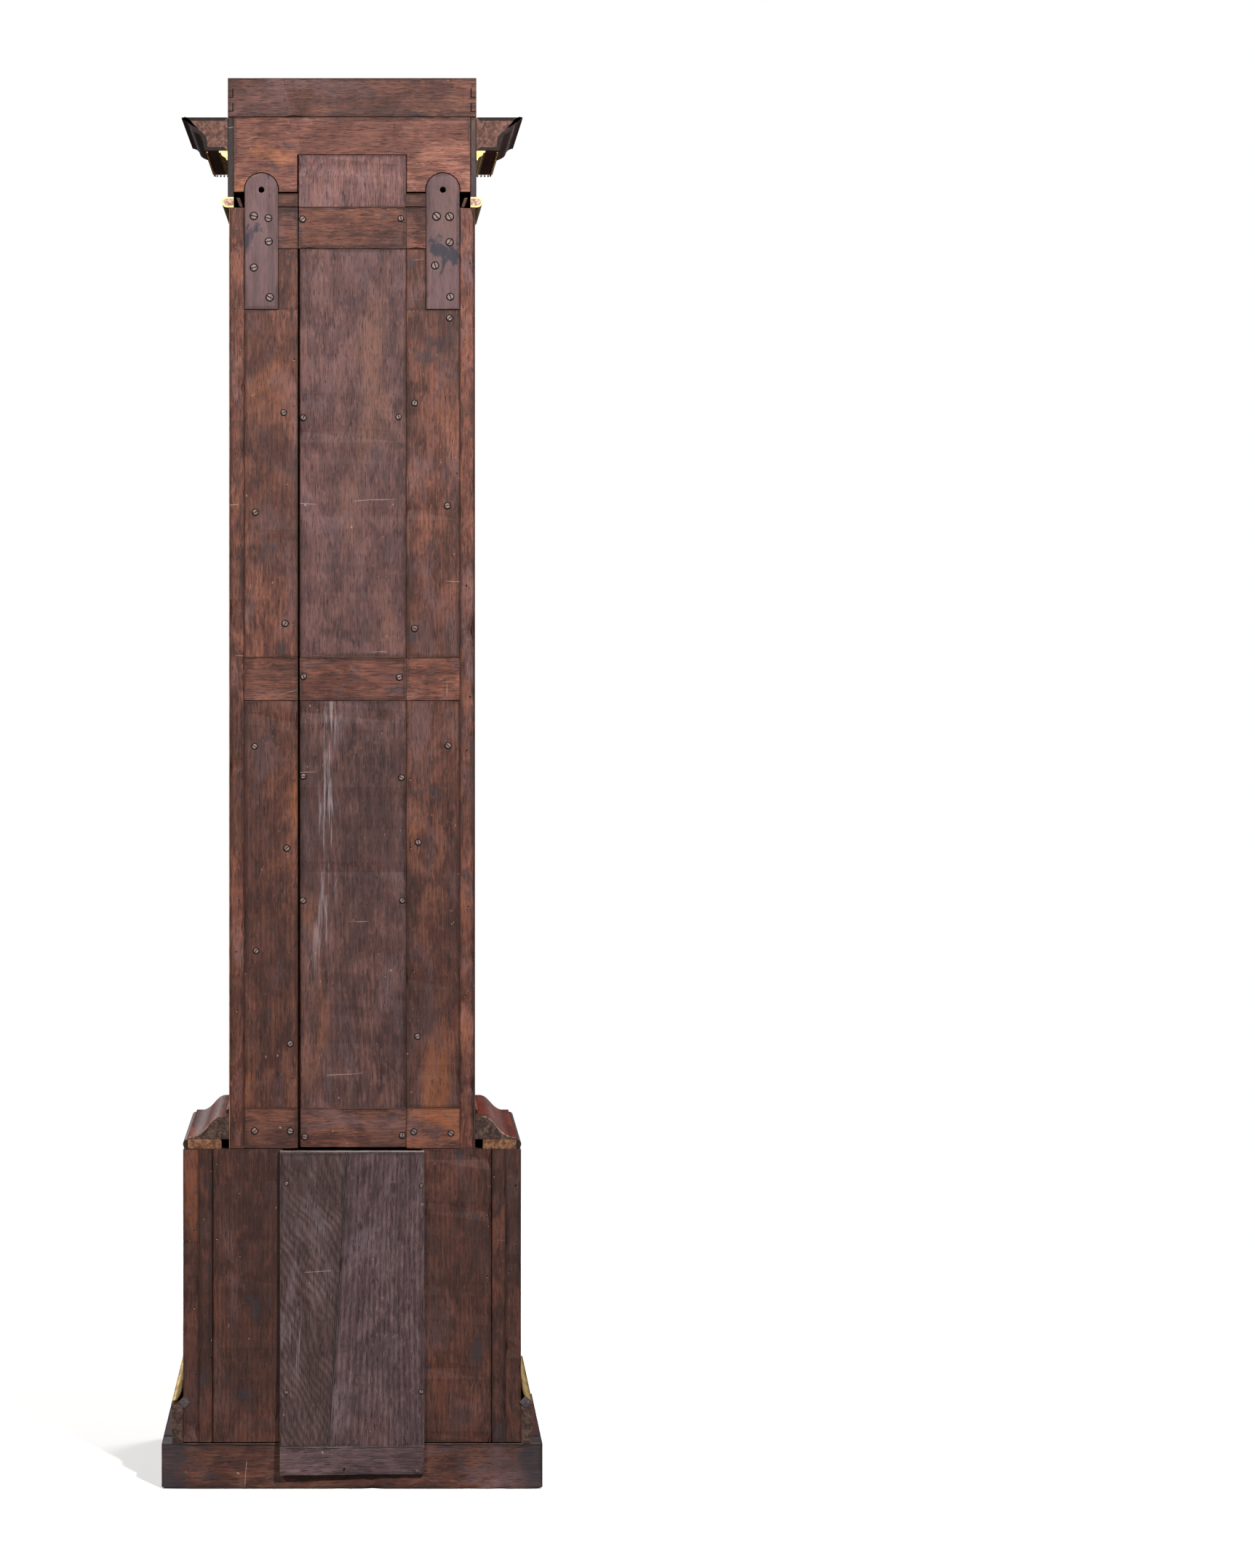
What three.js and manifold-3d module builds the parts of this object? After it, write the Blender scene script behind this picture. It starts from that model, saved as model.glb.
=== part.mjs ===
// A longcase regulator clock, 7 ft tall, as an assembly of its separate pieces.
//
// Millimetres. +Z is up, the dial faces -Y and the back of the case faces +Y. The origin is
// on the floor, under the middle of the case. The pendulum and movement stand in front of an
// inner partition; behind it a shallow chute holds the driving weight on its gut line. The
// chute is closed by one long board, and the hood lifts straight up off the trunk.
import * as THREE from 'three';
import { mergeVertices } from 'three/addons/utils/BufferGeometryUtils.js';
import Module from 'manifold-3d';

const wasm = await Module();
wasm.setup();

// ---------------------------------------------------------------- driving dimensions
const gap = 0.3; // between pieces that touch

// levels, from the floor up
const plinthTop = 69;
const skirtingTop = 131;
const coveTop = 165;
const baseTop = 514;
const packingTop = 528.7;
const shoulderTop = 564;
const trunkTop = 1938;
const torusTop = 1954;
const trunkBackTop = 1959.3;
const hoodBackBottom = 1962;
const backBoardTop = 2017.4;
const soffit = 2024;
const hoodTop = 2075;
const caseTop = 2134;

// depths, from the rear plane forwards
const rear = 136;
const coverRear = 150;
const trunkFront = -49;
const hoodFront = -80;
const baseFront = -119;
const plinthFront = -150;

// half widths
const plinthHalf = 288;
const baseHalf = 255.5;
const trunkHalf = 186;
const hoodHalf = 188;

// board thicknesses
const plinthBoard = 45;
const caseBoard = 18;
const trunkBoard = 23;
const backBoard = 20;
const hoodBoard = 9;
const atticBoard = 12;
const rearPanel = 13; // the long board over the chute, and the ledge that it lies in

// the weight chute
const chuteHalf = 70.3;
const ledgeHalf = 82.2;
const partitionFront = 64;
const partitionRear = 76;
const partitionTop = 1957;

// the wall straps
const strapCentre = 137.2;
const strapHalf = 25.3;
const strapBottom = 1784;
const strapRoundHeight = 1964.7;
const strapProud = 1.5;
const strapSink = 10;

// the gut line and what it runs on
const lineRadius = 1;
const lineDepth = 92; // how far back the two falls hang
const pulleyX = 2.95;
const pulleyHeight = 1275.7;
const pulleyRadius = 22.25; // to the middle of the line
const guideRadius = 11;
const guideHeight = 1989;
const guideFrontDepth = 19;
const tieOffHeight = 1956.6;

// the weight
const leadHalf = 67.5;
const leadBottom = 898;
const leadTop = 1161;
const leadThickness = 25;
const hookMiddle = 1204;
const hookRadius = 7.5;
const hookWire = 1.5;

// the movement
const dialCentre = 1754;
const winding = 1704;
const secondsCentre = 1806;
const thirdArbor = { x: -19.76, z: 1784.09 };
const palletArbor = 1836;
const seatTop = 1650;
const plateHalf = 75;
const plateTop = 1852;
const plateThick = 3;
const frontPlateFace = -10;
const backPlateFace = 22;
const dialFace = -28;
const barrelRadius = 22.8;
const barrelDepth = { front: -0.5, rear: 13.5 };

// the pendulum
const pendulumDepth = 38;
const pendulumLength = 994;
const bobRadius = 75;
const rodRadius = 3.5;
const bobCentre = palletArbor - pendulumLength;

// the doors
const doorGap = 1.3;
const dialOpening = { half: 140.5, bottom: 1613.5, top: 1894.5 };
const trunkOpening = { half: 120.5, bottom: 640, top: 1550 };
const dialGlassRadius = 112;
const trunkGlass = { half: 84, bottom: 676, top: 1514 };
const doorGlassFace = -41;

// ---------------------------------------------------------------- finishes
const finish = (color, roughness, metalness = 0) => ({ color, roughness, metalness });
const mahogany = finish(0x5a1d10, 0.35);
const darkOak = finish(0x4f3023, 0.75);
const coverOak = finish(0x4c3530, 0.8);
const pine = finish(0xb07a3c, 0.7);
const strapWood = finish(0x5c4542, 0.75);
const brass = finish(0xcaa860, 0.35, 1);
const gilt = finish(0xd8b060, 0.4, 1);
const lead = finish(0x5a585c, 0.6, 0.6);
const steel = finish(0x8b8d90, 0.35, 1);
const blued = finish(0x1c2436, 0.3, 0.9);
const silvered = finish(0xcfcdc4, 0.45, 0.7);
const glass = finish(0xe8f0ee, 0.05);
const gut = finish(0xe9e2cf, 0.5);

// ---------------------------------------------------------------- making and placing
const clock = new THREE.Group();

function add(name, geometry, look, x = 0, y = 0, z = 0) {
  const material = new THREE.MeshStandardMaterial(look);
  if (look === glass) {
    material.transparent = true;
    material.opacity = 0.3;
  }
  const mesh = new THREE.Mesh(geometry, material);
  mesh.name = name;
  mesh.position.set(x, y, z);
  clock.add(mesh);
}

// The same piece on both sides of the case. make(side) gets +1 or -1.
function addPair(name, look, make) {
  add(`${name}_left`, make(1), look);
  add(`${name}_right`, make(-1), look);
}

function box(x0, x1, y0, y1, z0, z1) {
  const geometry = new THREE.BoxGeometry(Math.abs(x1 - x0), y1 - y0, z1 - z0);
  return geometry.translate((x0 + x1) / 2, (y0 + y1) / 2, (z0 + z1) / 2);
}

// A box that is as wide on one side of the middle as on the other.
function board(half, y0, y1, z0, z1) {
  return box(-half, half, y0, y1, z0, z1);
}

// An outline drawn in X and Z, from y0 back to y1.
function upright(shape, y0, y1, curveSegments = 12) {
  const depth = y1 - y0;
  const geometry = new THREE.ExtrudeGeometry(shape, { depth, bevelEnabled: false, curveSegments });
  return geometry.rotateX(Math.PI / 2).translate(0, y1, 0);
}

// A profile of [radius, y] corners turned about an axis along Y, through x and z.
function turned(corners, x, z, segments = 24) {
  const profile = corners.map(([radius, y]) => new THREE.Vector2(radius, y));
  return new THREE.LatheGeometry(profile, segments).translate(x, 0, z);
}

// The same, for a ring: the profile closes on itself round the bore.
function turnedRing(corners, x, z, segments = 24) {
  return turned([...corners, corners[0]], x, z, segments);
}

function rod(radius, from, to, segments = 12) {
  const axis = new THREE.Vector3().subVectors(to, from);
  const geometry = new THREE.CylinderGeometry(radius, radius, axis.length(), segments);
  const turn = new THREE.Quaternion().setFromUnitVectors(
    new THREE.Vector3(0, 1, 0), axis.clone().normalize());
  const middle = new THREE.Vector3().addVectors(from, to).multiplyScalar(0.5);
  return geometry.applyQuaternion(turn).translate(middle.x, middle.y, middle.z);
}

const at = (x, y, z) => new THREE.Vector3(x, y, z);

// ---------------------------------------------------------------- joining and cutting
function toSolid(geometry) {
  const bare = geometry.clone();
  bare.deleteAttribute('normal');
  bare.deleteAttribute('uv');
  const merged = mergeVertices(bare, 1e-4);
  const corners = [];
  const index = merged.index.array;
  for (let i = 0; i < index.length; i += 3) {
    const [a, b, c] = [index[i], index[i + 1], index[i + 2]];
    if (a !== b && b !== c && c !== a) {
      corners.push(a, b, c);
    }
  }
  return new wasm.Manifold(new wasm.Mesh({
    numProp: 3,
    vertProperties: new Float32Array(merged.attributes.position.array),
    triVerts: new Uint32Array(corners),
  }));
}

function toGeometry(solid) {
  const mesh = solid.getMesh();
  const geometry = new THREE.BufferGeometry();
  geometry.setAttribute('position', new THREE.BufferAttribute(mesh.vertProperties, 3));
  geometry.setIndex(new THREE.BufferAttribute(mesh.triVerts, 1));
  return geometry;
}

function join(...parts) {
  return toGeometry(parts.map(toSolid).reduce((whole, part) => whole.add(part)));
}

function cut(whole, ...tools) {
  return toGeometry(tools.map(toSolid).reduce((left, tool) => left.subtract(tool), toSolid(whole)));
}

// ---------------------------------------------------------------- mouldings
// A moulding that wraps the front and both sides of a carcass, mitred at the front corners.
// The profile is drawn as [distance out from the carcass, height].
function wrapped(profile, half, front, segments = 5) {
  const outline = profile.getPoints(segments);
  const last = outline.length - 1;
  if (outline[0].distanceTo(outline[last]) < 1e-6) {
    outline.pop();
  }
  if (THREE.ShapeUtils.isClockWise(outline)) {
    outline.reverse();
  }
  const stations = [
    (out) => [-half - out, rear],
    (out) => [-half - out, front - out],
    (out) => [half + out, front - out],
    (out) => [half + out, rear],
  ];
  const points = stations.flatMap((place) => outline.flatMap((p) => [...place(p.x), p.y]));
  const count = outline.length;
  const index = [];
  for (let s = 0; s < stations.length - 1; s += 1) {
    for (let i = 0; i < count; i += 1) {
      const next = (i + 1) % count;
      const [a, b] = [s * count + i, s * count + next];
      index.push(a, b + count, b, a, a + count, b + count);
    }
  }
  const far = (stations.length - 1) * count;
  for (const [a, b, c] of THREE.ShapeUtils.triangulateShape(outline, [])) {
    index.push(a, b, c, far + a, far + c, far + b);
  }
  const geometry = new THREE.BufferGeometry();
  geometry.setAttribute('position', new THREE.Float32BufferAttribute(points, 3));
  geometry.setIndex(index);
  return geometry;
}

function rectangle(x0, z0, x1, z1) {
  const shape = new THREE.Shape();
  shape.moveTo(x0, z0);
  shape.lineTo(x1, z0);
  shape.lineTo(x1, z1);
  shape.lineTo(x0, z1);
  shape.closePath();
  return shape;
}

function roundHole(x, z, radius) {
  const hole = new THREE.Path();
  hole.absarc(x, z, radius, 0, 2 * Math.PI, true);
  return hole;
}

// ---------------------------------------------------------------- plinth and base
function plinth() {
  const frame = rectangle(-plinthHalf, plinthFront, plinthHalf, rear);
  const inner = plinthHalf - plinthBoard;
  frame.holes.push(rectangle(-inner, plinthFront + plinthBoard, inner, rear - plinthBoard));
  return new THREE.ExtrudeGeometry(frame, { depth: plinthTop, bevelEnabled: false });
}

function skirting() {
  const thick = 16.7;
  const profile = new THREE.Path();
  profile.moveTo(gap, plinthTop + gap);
  profile.lineTo(thick, plinthTop + gap);
  profile.lineTo(thick, skirtingTop - 2);
  profile.lineTo(thick - 2, skirtingTop);
  profile.lineTo(gap, skirtingTop);
  return wrapped(profile, baseHalf, baseFront);
}

// A thin hollow-curved brass strip, from the top of the skirting up to the side of the base.
function brassCove() {
  const reach = 16.7;
  const metal = 1.7;
  const rise = coveTop - skirtingTop - gap;
  const profile = new THREE.Path();
  profile.moveTo(gap, coveTop);
  profile.absellipse(reach, coveTop, reach - gap, rise, Math.PI, 1.5 * Math.PI, false);
  profile.lineTo(reach, skirtingTop + gap + metal);
  profile.absellipse(reach, coveTop, reach - gap - metal, rise - metal, 1.5 * Math.PI, Math.PI, true);
  return wrapped(profile, baseHalf, baseFront, 6);
}

add('plinth', plinth(), mahogany);
add('skirting', skirting(), mahogany);
add('brass_cove', brassCove(), brass);

const baseBottom = plinthTop + gap;
const baseBackFront = rear - caseBoard;
const baseInner = baseHalf - caseBoard;
addPair('base_side', mahogany, (side) => box(
  side * baseInner, side * baseHalf, baseFront + caseBoard + gap, baseBackFront - gap, baseBottom, baseTop));
add('base_front', board(baseHalf, baseFront, baseFront + caseBoard, baseBottom, baseTop), mahogany);
add('base_floor', board(baseInner - gap, baseFront + caseBoard + gap, baseBackFront - gap, 75, 87), pine);
const coverHole = 105;
addPair('base_back', darkOak, (side) => box(
  side * coverHole, side * baseHalf, baseBackFront, rear, baseBottom, baseTop));

const coverHalf = 109;
add('base_cover', board(coverHalf, rear + gap, coverRear, 23, 512), coverOak);

// ---------------------------------------------------------------- shoulder, between base and trunk
function shoulderMoulding() {
  const bottom = packingTop + gap;
  const profile = new THREE.Path();
  profile.moveTo(gap, bottom);
  profile.lineTo(62.2, bottom);
  profile.lineTo(62.2, 532);
  profile.bezierCurveTo(45, 532.5, 41, 541, 34.7, 546.7);
  profile.bezierCurveTo(27, 554, 21, 564, 9, shoulderTop);
  profile.lineTo(gap, shoulderTop);
  return wrapped(profile, trunkHalf, trunkFront);
}

function shoulderPacking() {
  const bottom = baseTop + gap;
  const nose = (packingTop - bottom) / 2;
  const profile = new THREE.Path();
  profile.moveTo(12, bottom);
  profile.lineTo(63, bottom);
  profile.absarc(63, bottom + nose, nose, -Math.PI / 2, Math.PI / 2, false);
  profile.lineTo(12, packingTop);
  return wrapped(profile, trunkHalf, trunkFront, 4);
}

add('shoulder_moulding', shoulderMoulding(), mahogany);
add('shoulder_packing', shoulderPacking(), pine);

// ---------------------------------------------------------------- trunk
const trunkBottom = baseTop + gap;
const trunkInner = trunkHalf - trunkBoard;
const backFront = rear - backBoard;
addPair('trunk_side', mahogany, (side) => box(
  side * trunkInner, side * trunkHalf, trunkFront + caseBoard + gap, rear, trunkBottom, trunkTop));

addPair('trunk_back', darkOak, (side) => cut(
  box(side * ledgeHalf, side * (trunkInner - gap), backFront, rear, trunkBottom, trunkBackTop),
  box(side * (strapCentre - strapHalf - gap), side * trunkInner, rear - strapSink - gap, rear + 1,
    strapBottom - gap, trunkBackTop + 1)));

addPair('chute_cheek', darkOak, (side) => box(
  side * chuteHalf, side * (ledgeHalf - gap), partitionRear + gap, rear - rearPanel - gap, 516, partitionTop));
add('chute_partition', board(trunkInner - gap, partitionFront, partitionRear, 516, partitionTop), pine);

function wallStrap(side) {
  const middle = side * strapCentre;
  const shape = new THREE.Shape();
  shape.moveTo(middle - strapHalf, strapBottom);
  shape.lineTo(middle + strapHalf, strapBottom);
  shape.lineTo(middle + strapHalf, strapRoundHeight);
  shape.absarc(middle, strapRoundHeight, strapHalf, 0, Math.PI, false);
  shape.closePath();
  shape.holes.push(roundHole(middle, strapRoundHeight, 4.5));
  return upright(shape, rear - strapSink, rear + strapProud, 8);
}

addPair('wall_strap', strapWood, wallStrap);

// The long board stands a hair off centre, with the wider joint on its left edge.
const tipBoard = { left: 80.6, right: -81.8, bottom: 516.3 };
add('back_board', box(
  tipBoard.right, tipBoard.left, rear - rearPanel, rear + 0.2, tipBoard.bottom, backBoardTop), darkOak);

function frontFrame() {
  const shape = rectangle(-trunkHalf, trunkBottom, trunkHalf, trunkTop);
  for (const hole of [dialOpening, trunkOpening]) {
    shape.holes.push(rectangle(-hole.half, hole.bottom, hole.half, hole.top));
  }
  return upright(shape, trunkFront, trunkFront + caseBoard);
}

// A hollow moulding under the front of the hood, which stands further out than the trunk.
function trunkCap() {
  const reach = trunkFront - gap - hoodFront;
  const profile = new THREE.Shape();
  profile.moveTo(0, 1897);
  profile.lineTo(3, 1897);
  profile.bezierCurveTo(4, 1915, 14, 1928, reach, 1929);
  profile.lineTo(reach, trunkTop);
  profile.lineTo(0, trunkTop);
  profile.closePath();
  const geometry = new THREE.ExtrudeGeometry(
    profile, { depth: 2 * trunkHalf, bevelEnabled: false, curveSegments: 6 });
  return geometry.rotateX(Math.PI / 2).rotateZ(-Math.PI / 2).translate(trunkHalf, trunkFront - gap, 0);
}

add('trunk_front_frame', frontFrame(), mahogany);
add('trunk_cap', trunkCap(), mahogany);

// ---------------------------------------------------------------- doors
function doorFrame(opening, sight) {
  const shape = rectangle(
    -opening.half + doorGap, opening.bottom + doorGap, opening.half - doorGap, opening.top - doorGap);
  shape.holes.push(sight);
  return upright(shape, trunkFront, trunkFront + caseBoard, 24);
}

const trunkSight = rectangle(-trunkGlass.half, trunkGlass.bottom, trunkGlass.half, trunkGlass.top);
const paneBack = doorGlassFace + 3;
add('dial_door_frame', doorFrame(dialOpening, roundHole(0, dialCentre, dialGlassRadius)), mahogany);
add('trunk_door_frame', doorFrame(trunkOpening, trunkSight), mahogany);
add('dial_door_glass', turned([
  [0, doorGlassFace], [dialGlassRadius - gap, doorGlassFace], [dialGlassRadius - gap, paneBack], [0, paneBack],
], 0, dialCentre, 48), glass);
add('trunk_door_glass', board(
  trunkGlass.half - gap, doorGlassFace, paneBack, trunkGlass.bottom + gap, trunkGlass.top - gap), glass);

// ---------------------------------------------------------------- hood
function hoodBack() {
  const half = hoodHalf - hoodBoard - gap;
  const notch = strapHalf + 1.3;
  const tongue = 76.5;
  const shape = new THREE.Shape();
  shape.moveTo(-half, hoodBackBottom);
  shape.lineTo(-strapCentre - notch, hoodBackBottom);
  shape.absarc(-strapCentre, strapRoundHeight, notch, Math.PI, 0, true);
  shape.lineTo(-strapCentre + notch, hoodBackBottom);
  shape.lineTo(-tongue, hoodBackBottom);
  shape.lineTo(-tongue, backBoardTop - 7.7);
  shape.lineTo(tongue, backBoardTop - 7.7);
  shape.lineTo(tongue, hoodBackBottom);
  shape.lineTo(strapCentre - notch, hoodBackBottom);
  shape.absarc(strapCentre, strapRoundHeight, notch, Math.PI, 0, true);
  shape.lineTo(strapCentre + notch, hoodBackBottom);
  shape.lineTo(half, hoodBackBottom);
  shape.lineTo(half, hoodTop - gap);
  shape.lineTo(-half, hoodTop - gap);
  shape.closePath();
  const rebate = board(
    ledgeHalf + 0.4, rear - rearPanel - gap, rear + 1, hoodBackBottom - 1, backBoardTop + 0.6);
  return cut(upright(shape, rear - caseBoard, rear, 10), rebate);
}

function cornice() {
  const profile = new THREE.Path();
  profile.moveTo(gap, soffit + gap);
  profile.lineTo(35, soffit + gap);
  profile.lineTo(36.5, 2041.6);
  profile.bezierCurveTo(39, 2052, 54, 2052, 57, 2061);
  profile.bezierCurveTo(59, 2068, 64, 2069, 69.5, 2071.5);
  profile.lineTo(70, hoodTop - gap);
  profile.lineTo(gap, hoodTop - gap);
  return wrapped(profile, hoodHalf, hoodFront, 4);
}

function bedMould() {
  const profile = new THREE.Path();
  profile.moveTo(gap, 2009.7);
  profile.lineTo(2, 2009.7);
  profile.bezierCurveTo(3, 2017, 9, 2013, 10.5, 2021);
  profile.lineTo(13.5, soffit);
  profile.lineTo(gap, soffit);
  return wrapped(profile, hoodHalf, hoodFront, 4);
}

function brassTorus() {
  const bottom = trunkTop + gap;
  const middle = (bottom + torusTop) / 2;
  const profile = new THREE.Path();
  profile.moveTo(-hoodBoard, bottom);
  profile.lineTo(0, bottom);
  profile.bezierCurveTo(6, bottom, 9.4, middle - 3, 9.4, middle);
  profile.bezierCurveTo(9.4, middle + 3, 6, torusTop, 0, torusTop);
  profile.lineTo(-hoodBoard, torusTop);
  return wrapped(profile, hoodHalf, hoodFront, 5);
}

add('hood_back', hoodBack(), darkOak);
addPair('hood_side', mahogany, (side) => box(
  side * (hoodHalf - hoodBoard), side * hoodHalf, hoodFront + hoodBoard + gap, rear, torusTop + gap,
  hoodTop - gap));
add('hood_front', board(
  hoodHalf, hoodFront, hoodFront + hoodBoard, torusTop + gap, hoodTop - gap), mahogany);
add('attic_box', cut(
  board(hoodHalf, hoodFront, rear, hoodTop, caseTop),
  board(hoodHalf - atticBoard, hoodFront + atticBoard, rear - atticBoard, hoodTop - 1, caseTop - atticBoard),
), darkOak);
add('cornice', cornice(), mahogany);
add('bed_mould', bedMould(), gilt);
add('brass_torus', brassTorus(), brass);

// ---------------------------------------------------------------- weight, hook and pulley
function leadWeight() {
  const corner = 14;
  const front = lineDepth - leadThickness / 2;
  const shape = new THREE.Shape();
  shape.moveTo(-leadHalf, leadBottom);
  shape.lineTo(leadHalf, leadBottom);
  shape.lineTo(leadHalf, leadTop - corner);
  shape.quadraticCurveTo(leadHalf - 2, leadTop - 2, leadHalf - corner, leadTop);
  shape.lineTo(-leadHalf + corner, leadTop);
  shape.quadraticCurveTo(-leadHalf + 2, leadTop - 2, -leadHalf, leadTop - corner);
  shape.closePath();
  const slab = upright(shape, front, front + leadThickness, 4);
  const eyeWire = 2;
  const eyeRadius = 9;
  const eyeTop = hookMiddle - 2 * hookRadius + hookWire + gap + eyeWire;
  const eyeMiddle = eyeTop - eyeRadius;
  const eye = new THREE.TorusGeometry(eyeRadius, eyeWire, 8, 16);
  eye.rotateY(Math.PI / 2).translate(pulleyX, lineDepth, eyeMiddle);
  const stem = rod(
    3, at(pulleyX, lineDepth, leadTop - 5), at(pulleyX, lineDepth, eyeMiddle - eyeRadius + 0.5), 8);
  return join(slab, stem, eye);
}

// Two hooked halves: the upper hangs in the stirrup's eye, the lower carries the weight's eye.
function sHook() {
  const points = [];
  const halves = [[1, -20, 270], [-1, 90, -200]];
  for (const [up, from, to] of halves) {
    const middle = hookMiddle + up * hookRadius;
    const steps = 8;
    const first = up > 0 ? 0 : 1;
    for (let i = first; i <= steps; i += 1) {
      const angle = THREE.MathUtils.degToRad(from + ((to - from) * i) / steps);
      points.push(at(
        pulleyX + hookRadius * Math.cos(angle), lineDepth, middle + hookRadius * Math.sin(angle)));
    }
  }
  return tube(points, hookWire, 8);
}

// The folded brass strap that holds the weight's pulley, with its pin and swivel eye.
function pulleyStirrup() {
  const outside = 7;
  const inside = 5.2;
  const top = 1310;
  const bottom = 1240;
  const half = 10;
  const leaf = (y0, y1) => box(pulleyX - half, pulleyX + half, y0, y1, bottom, top);
  const foot = box(
    pulleyX - half, pulleyX + half, lineDepth - outside, lineDepth + outside, bottom, bottom + 4);
  const ringWire = 1.6;
  const ringRadius = 4.9;
  const ringBottom = hookMiddle + 2 * hookRadius - hookWire - gap - ringWire;
  const ring = new THREE.TorusGeometry(ringRadius, ringWire, 8, 12);
  ring.rotateY(Math.PI / 2).translate(pulleyX, lineDepth, ringBottom + ringRadius);
  return join(
    leaf(lineDepth - outside, lineDepth - inside),
    leaf(lineDepth + inside, lineDepth + outside),
    foot,
    rod(2, at(pulleyX, lineDepth - 8.5, pulleyHeight), at(pulleyX, lineDepth + 8.5, pulleyHeight)),
    rod(3, at(pulleyX, lineDepth, ringBottom + 2 * ringRadius - 0.5), at(pulleyX, lineDepth, bottom + 1), 10),
    ring);
}

// A grooved wheel: bore, cheeks up to the rim, and a groove that the line lies in.
function groovedProfile(bore, grooveRadius, rimRadius, halfWidth, middle) {
  return [
    [bore, middle - halfWidth], [rimRadius, middle - halfWidth], [rimRadius, middle - halfWidth + 0.9],
    [grooveRadius, middle - 1], [grooveRadius, middle + 1], [rimRadius, middle + halfWidth - 0.9],
    [rimRadius, middle + halfWidth], [bore, middle + halfWidth],
  ];
}

const lineClear = lineRadius + gap;
add('pulley_wheel', turnedRing(
  groovedProfile(2.4, pulleyRadius - lineClear, pulleyRadius + 1.2, 3.8, lineDepth), pulleyX, pulleyHeight, 32,
), brass);
add('pulley_stirrup', pulleyStirrup(), brass);
add('lead_weight', leadWeight(), lead);

// ---------------------------------------------------------------- guide wheels on the partition
const fallX = pulleyX + pulleyRadius; // the fall that pays out from the guide wheels
const guideRearDepth = lineDepth - guideRadius;
const fallFront = guideFrontDepth - guideRadius;

function guideWheel() {
  const wheel = turnedRing(groovedProfile(1.9, guideRadius - lineClear, guideRadius + 1, 3.2, 0), 0, 0, 20);
  return wheel.rotateZ(-Math.PI / 2);
}

function wheelBracket() {
  const parts = [box(fallX - 20, fallX + 20, fallFront + 4, lineDepth - 3, partitionTop + gap, 1963)];
  for (const depth of [guideRearDepth, guideFrontDepth]) {
    for (const side of [-1, 1]) {
      parts.push(box(fallX + side * 4.5, fallX + side * 8.5, depth - 4, depth + 4, 1962, guideHeight + 4));
    }
    parts.push(rod(1.5, at(fallX - 11, depth, guideHeight), at(fallX + 11, depth, guideHeight)));
  }
  return join(...parts);
}

add('guide_wheel_rear', guideWheel(), brass, fallX, guideRearDepth, guideHeight);
add('guide_wheel_front', guideWheel(), brass, fallX, guideFrontDepth, guideHeight);
add('wheel_bracket', wheelBracket(), steel);
add('line_tie_off', join(
  box(-37, -14, partitionFront, lineDepth + 7, partitionTop + gap, 1961),
  rod(2, at(-30, 84, 1960), at(-30, 84, 1973), 10)), steel);

// ---------------------------------------------------------------- the gut line
// A path whose steps are its own points, so that bends get short steps and straights long ones.
class PointPath extends THREE.CatmullRomCurve3 {
  getPointAt(t, target) {
    return this.getPoint(t, target);
  }

  getTangentAt(t, target) {
    return this.getTangent(t, target);
  }
}

function tube(points, radius, sides) {
  const section = new THREE.Shape();
  section.absarc(0, 0, radius, 0, 2 * Math.PI, false);
  return new THREE.ExtrudeGeometry(section, {
    steps: points.length - 1,
    curveSegments: sides / 2, // an arc gets two sides for each of these
    extrudePath: new PointPath(points, false, 'centripetal'),
  });
}

function arc(steps, from, to, place) {
  const points = [];
  for (let i = 0; i <= steps; i += 1) {
    const angle = from + ((to - from) * i) / steps;
    points.push(place(Math.cos(angle), Math.sin(angle)));
  }
  return points;
}

// From the tie-off down round the weight's pulley, up over both guide wheels, and down on to
// the barrel, where the turns that are still wound on lie side by side.
function gutLine() {
  const straight = (a, b, parts) => {
    const points = [];
    for (let i = 1; i < parts; i += 1) {
      points.push(new THREE.Vector3().lerpVectors(a, b, i / parts));
    }
    return points;
  };
  const tied = at(pulleyX - pulleyRadius, lineDepth, tieOffHeight);
  const under = arc(12, Math.PI, 2 * Math.PI, (c, s) => at(
    pulleyX + pulleyRadius * c, lineDepth, pulleyHeight + pulleyRadius * s));
  const overRear = arc(5, 0, Math.PI / 2, (c, s) => at(
    fallX, guideRearDepth + guideRadius * c, guideHeight + guideRadius * s));
  const overFront = arc(5, Math.PI / 2, Math.PI, (c, s) => at(
    fallX, guideFrontDepth + guideRadius * c, guideHeight + guideRadius * s));
  const turns = 2.5;
  const steps = 12 * turns;
  const wound = [];
  for (let i = 0; i <= steps; i += 1) {
    const angle = (-2 * Math.PI * turns * i) / steps;
    const along = fallFront - (2.4 * turns * i) / steps;
    wound.push(at(fallX * Math.cos(angle), along, winding + fallX * Math.sin(angle)));
  }
  return tube([
    tied,
    ...straight(tied, under[0], 4),
    ...under,
    ...straight(under.at(-1), overRear[0], 4),
    ...overRear,
    ...straight(overRear.at(-1), overFront[0], 2),
    ...overFront,
    ...straight(overFront.at(-1), wound[0], 3),
    ...wound,
  ], lineRadius, 8);
}

add('s_hook', sHook(), steel);
add('gut_line', gutLine(), gut);

// ---------------------------------------------------------------- movement
const frontPlateRear = frontPlateFace + plateThick;
const arborEnd = backPlateFace - gap;

function movementPlate(front, holes) {
  const shape = rectangle(-plateHalf, seatTop + gap, plateHalf, plateTop);
  shape.holes.push(...holes);
  return upright(shape, front, front + plateThick, 10);
}

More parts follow.
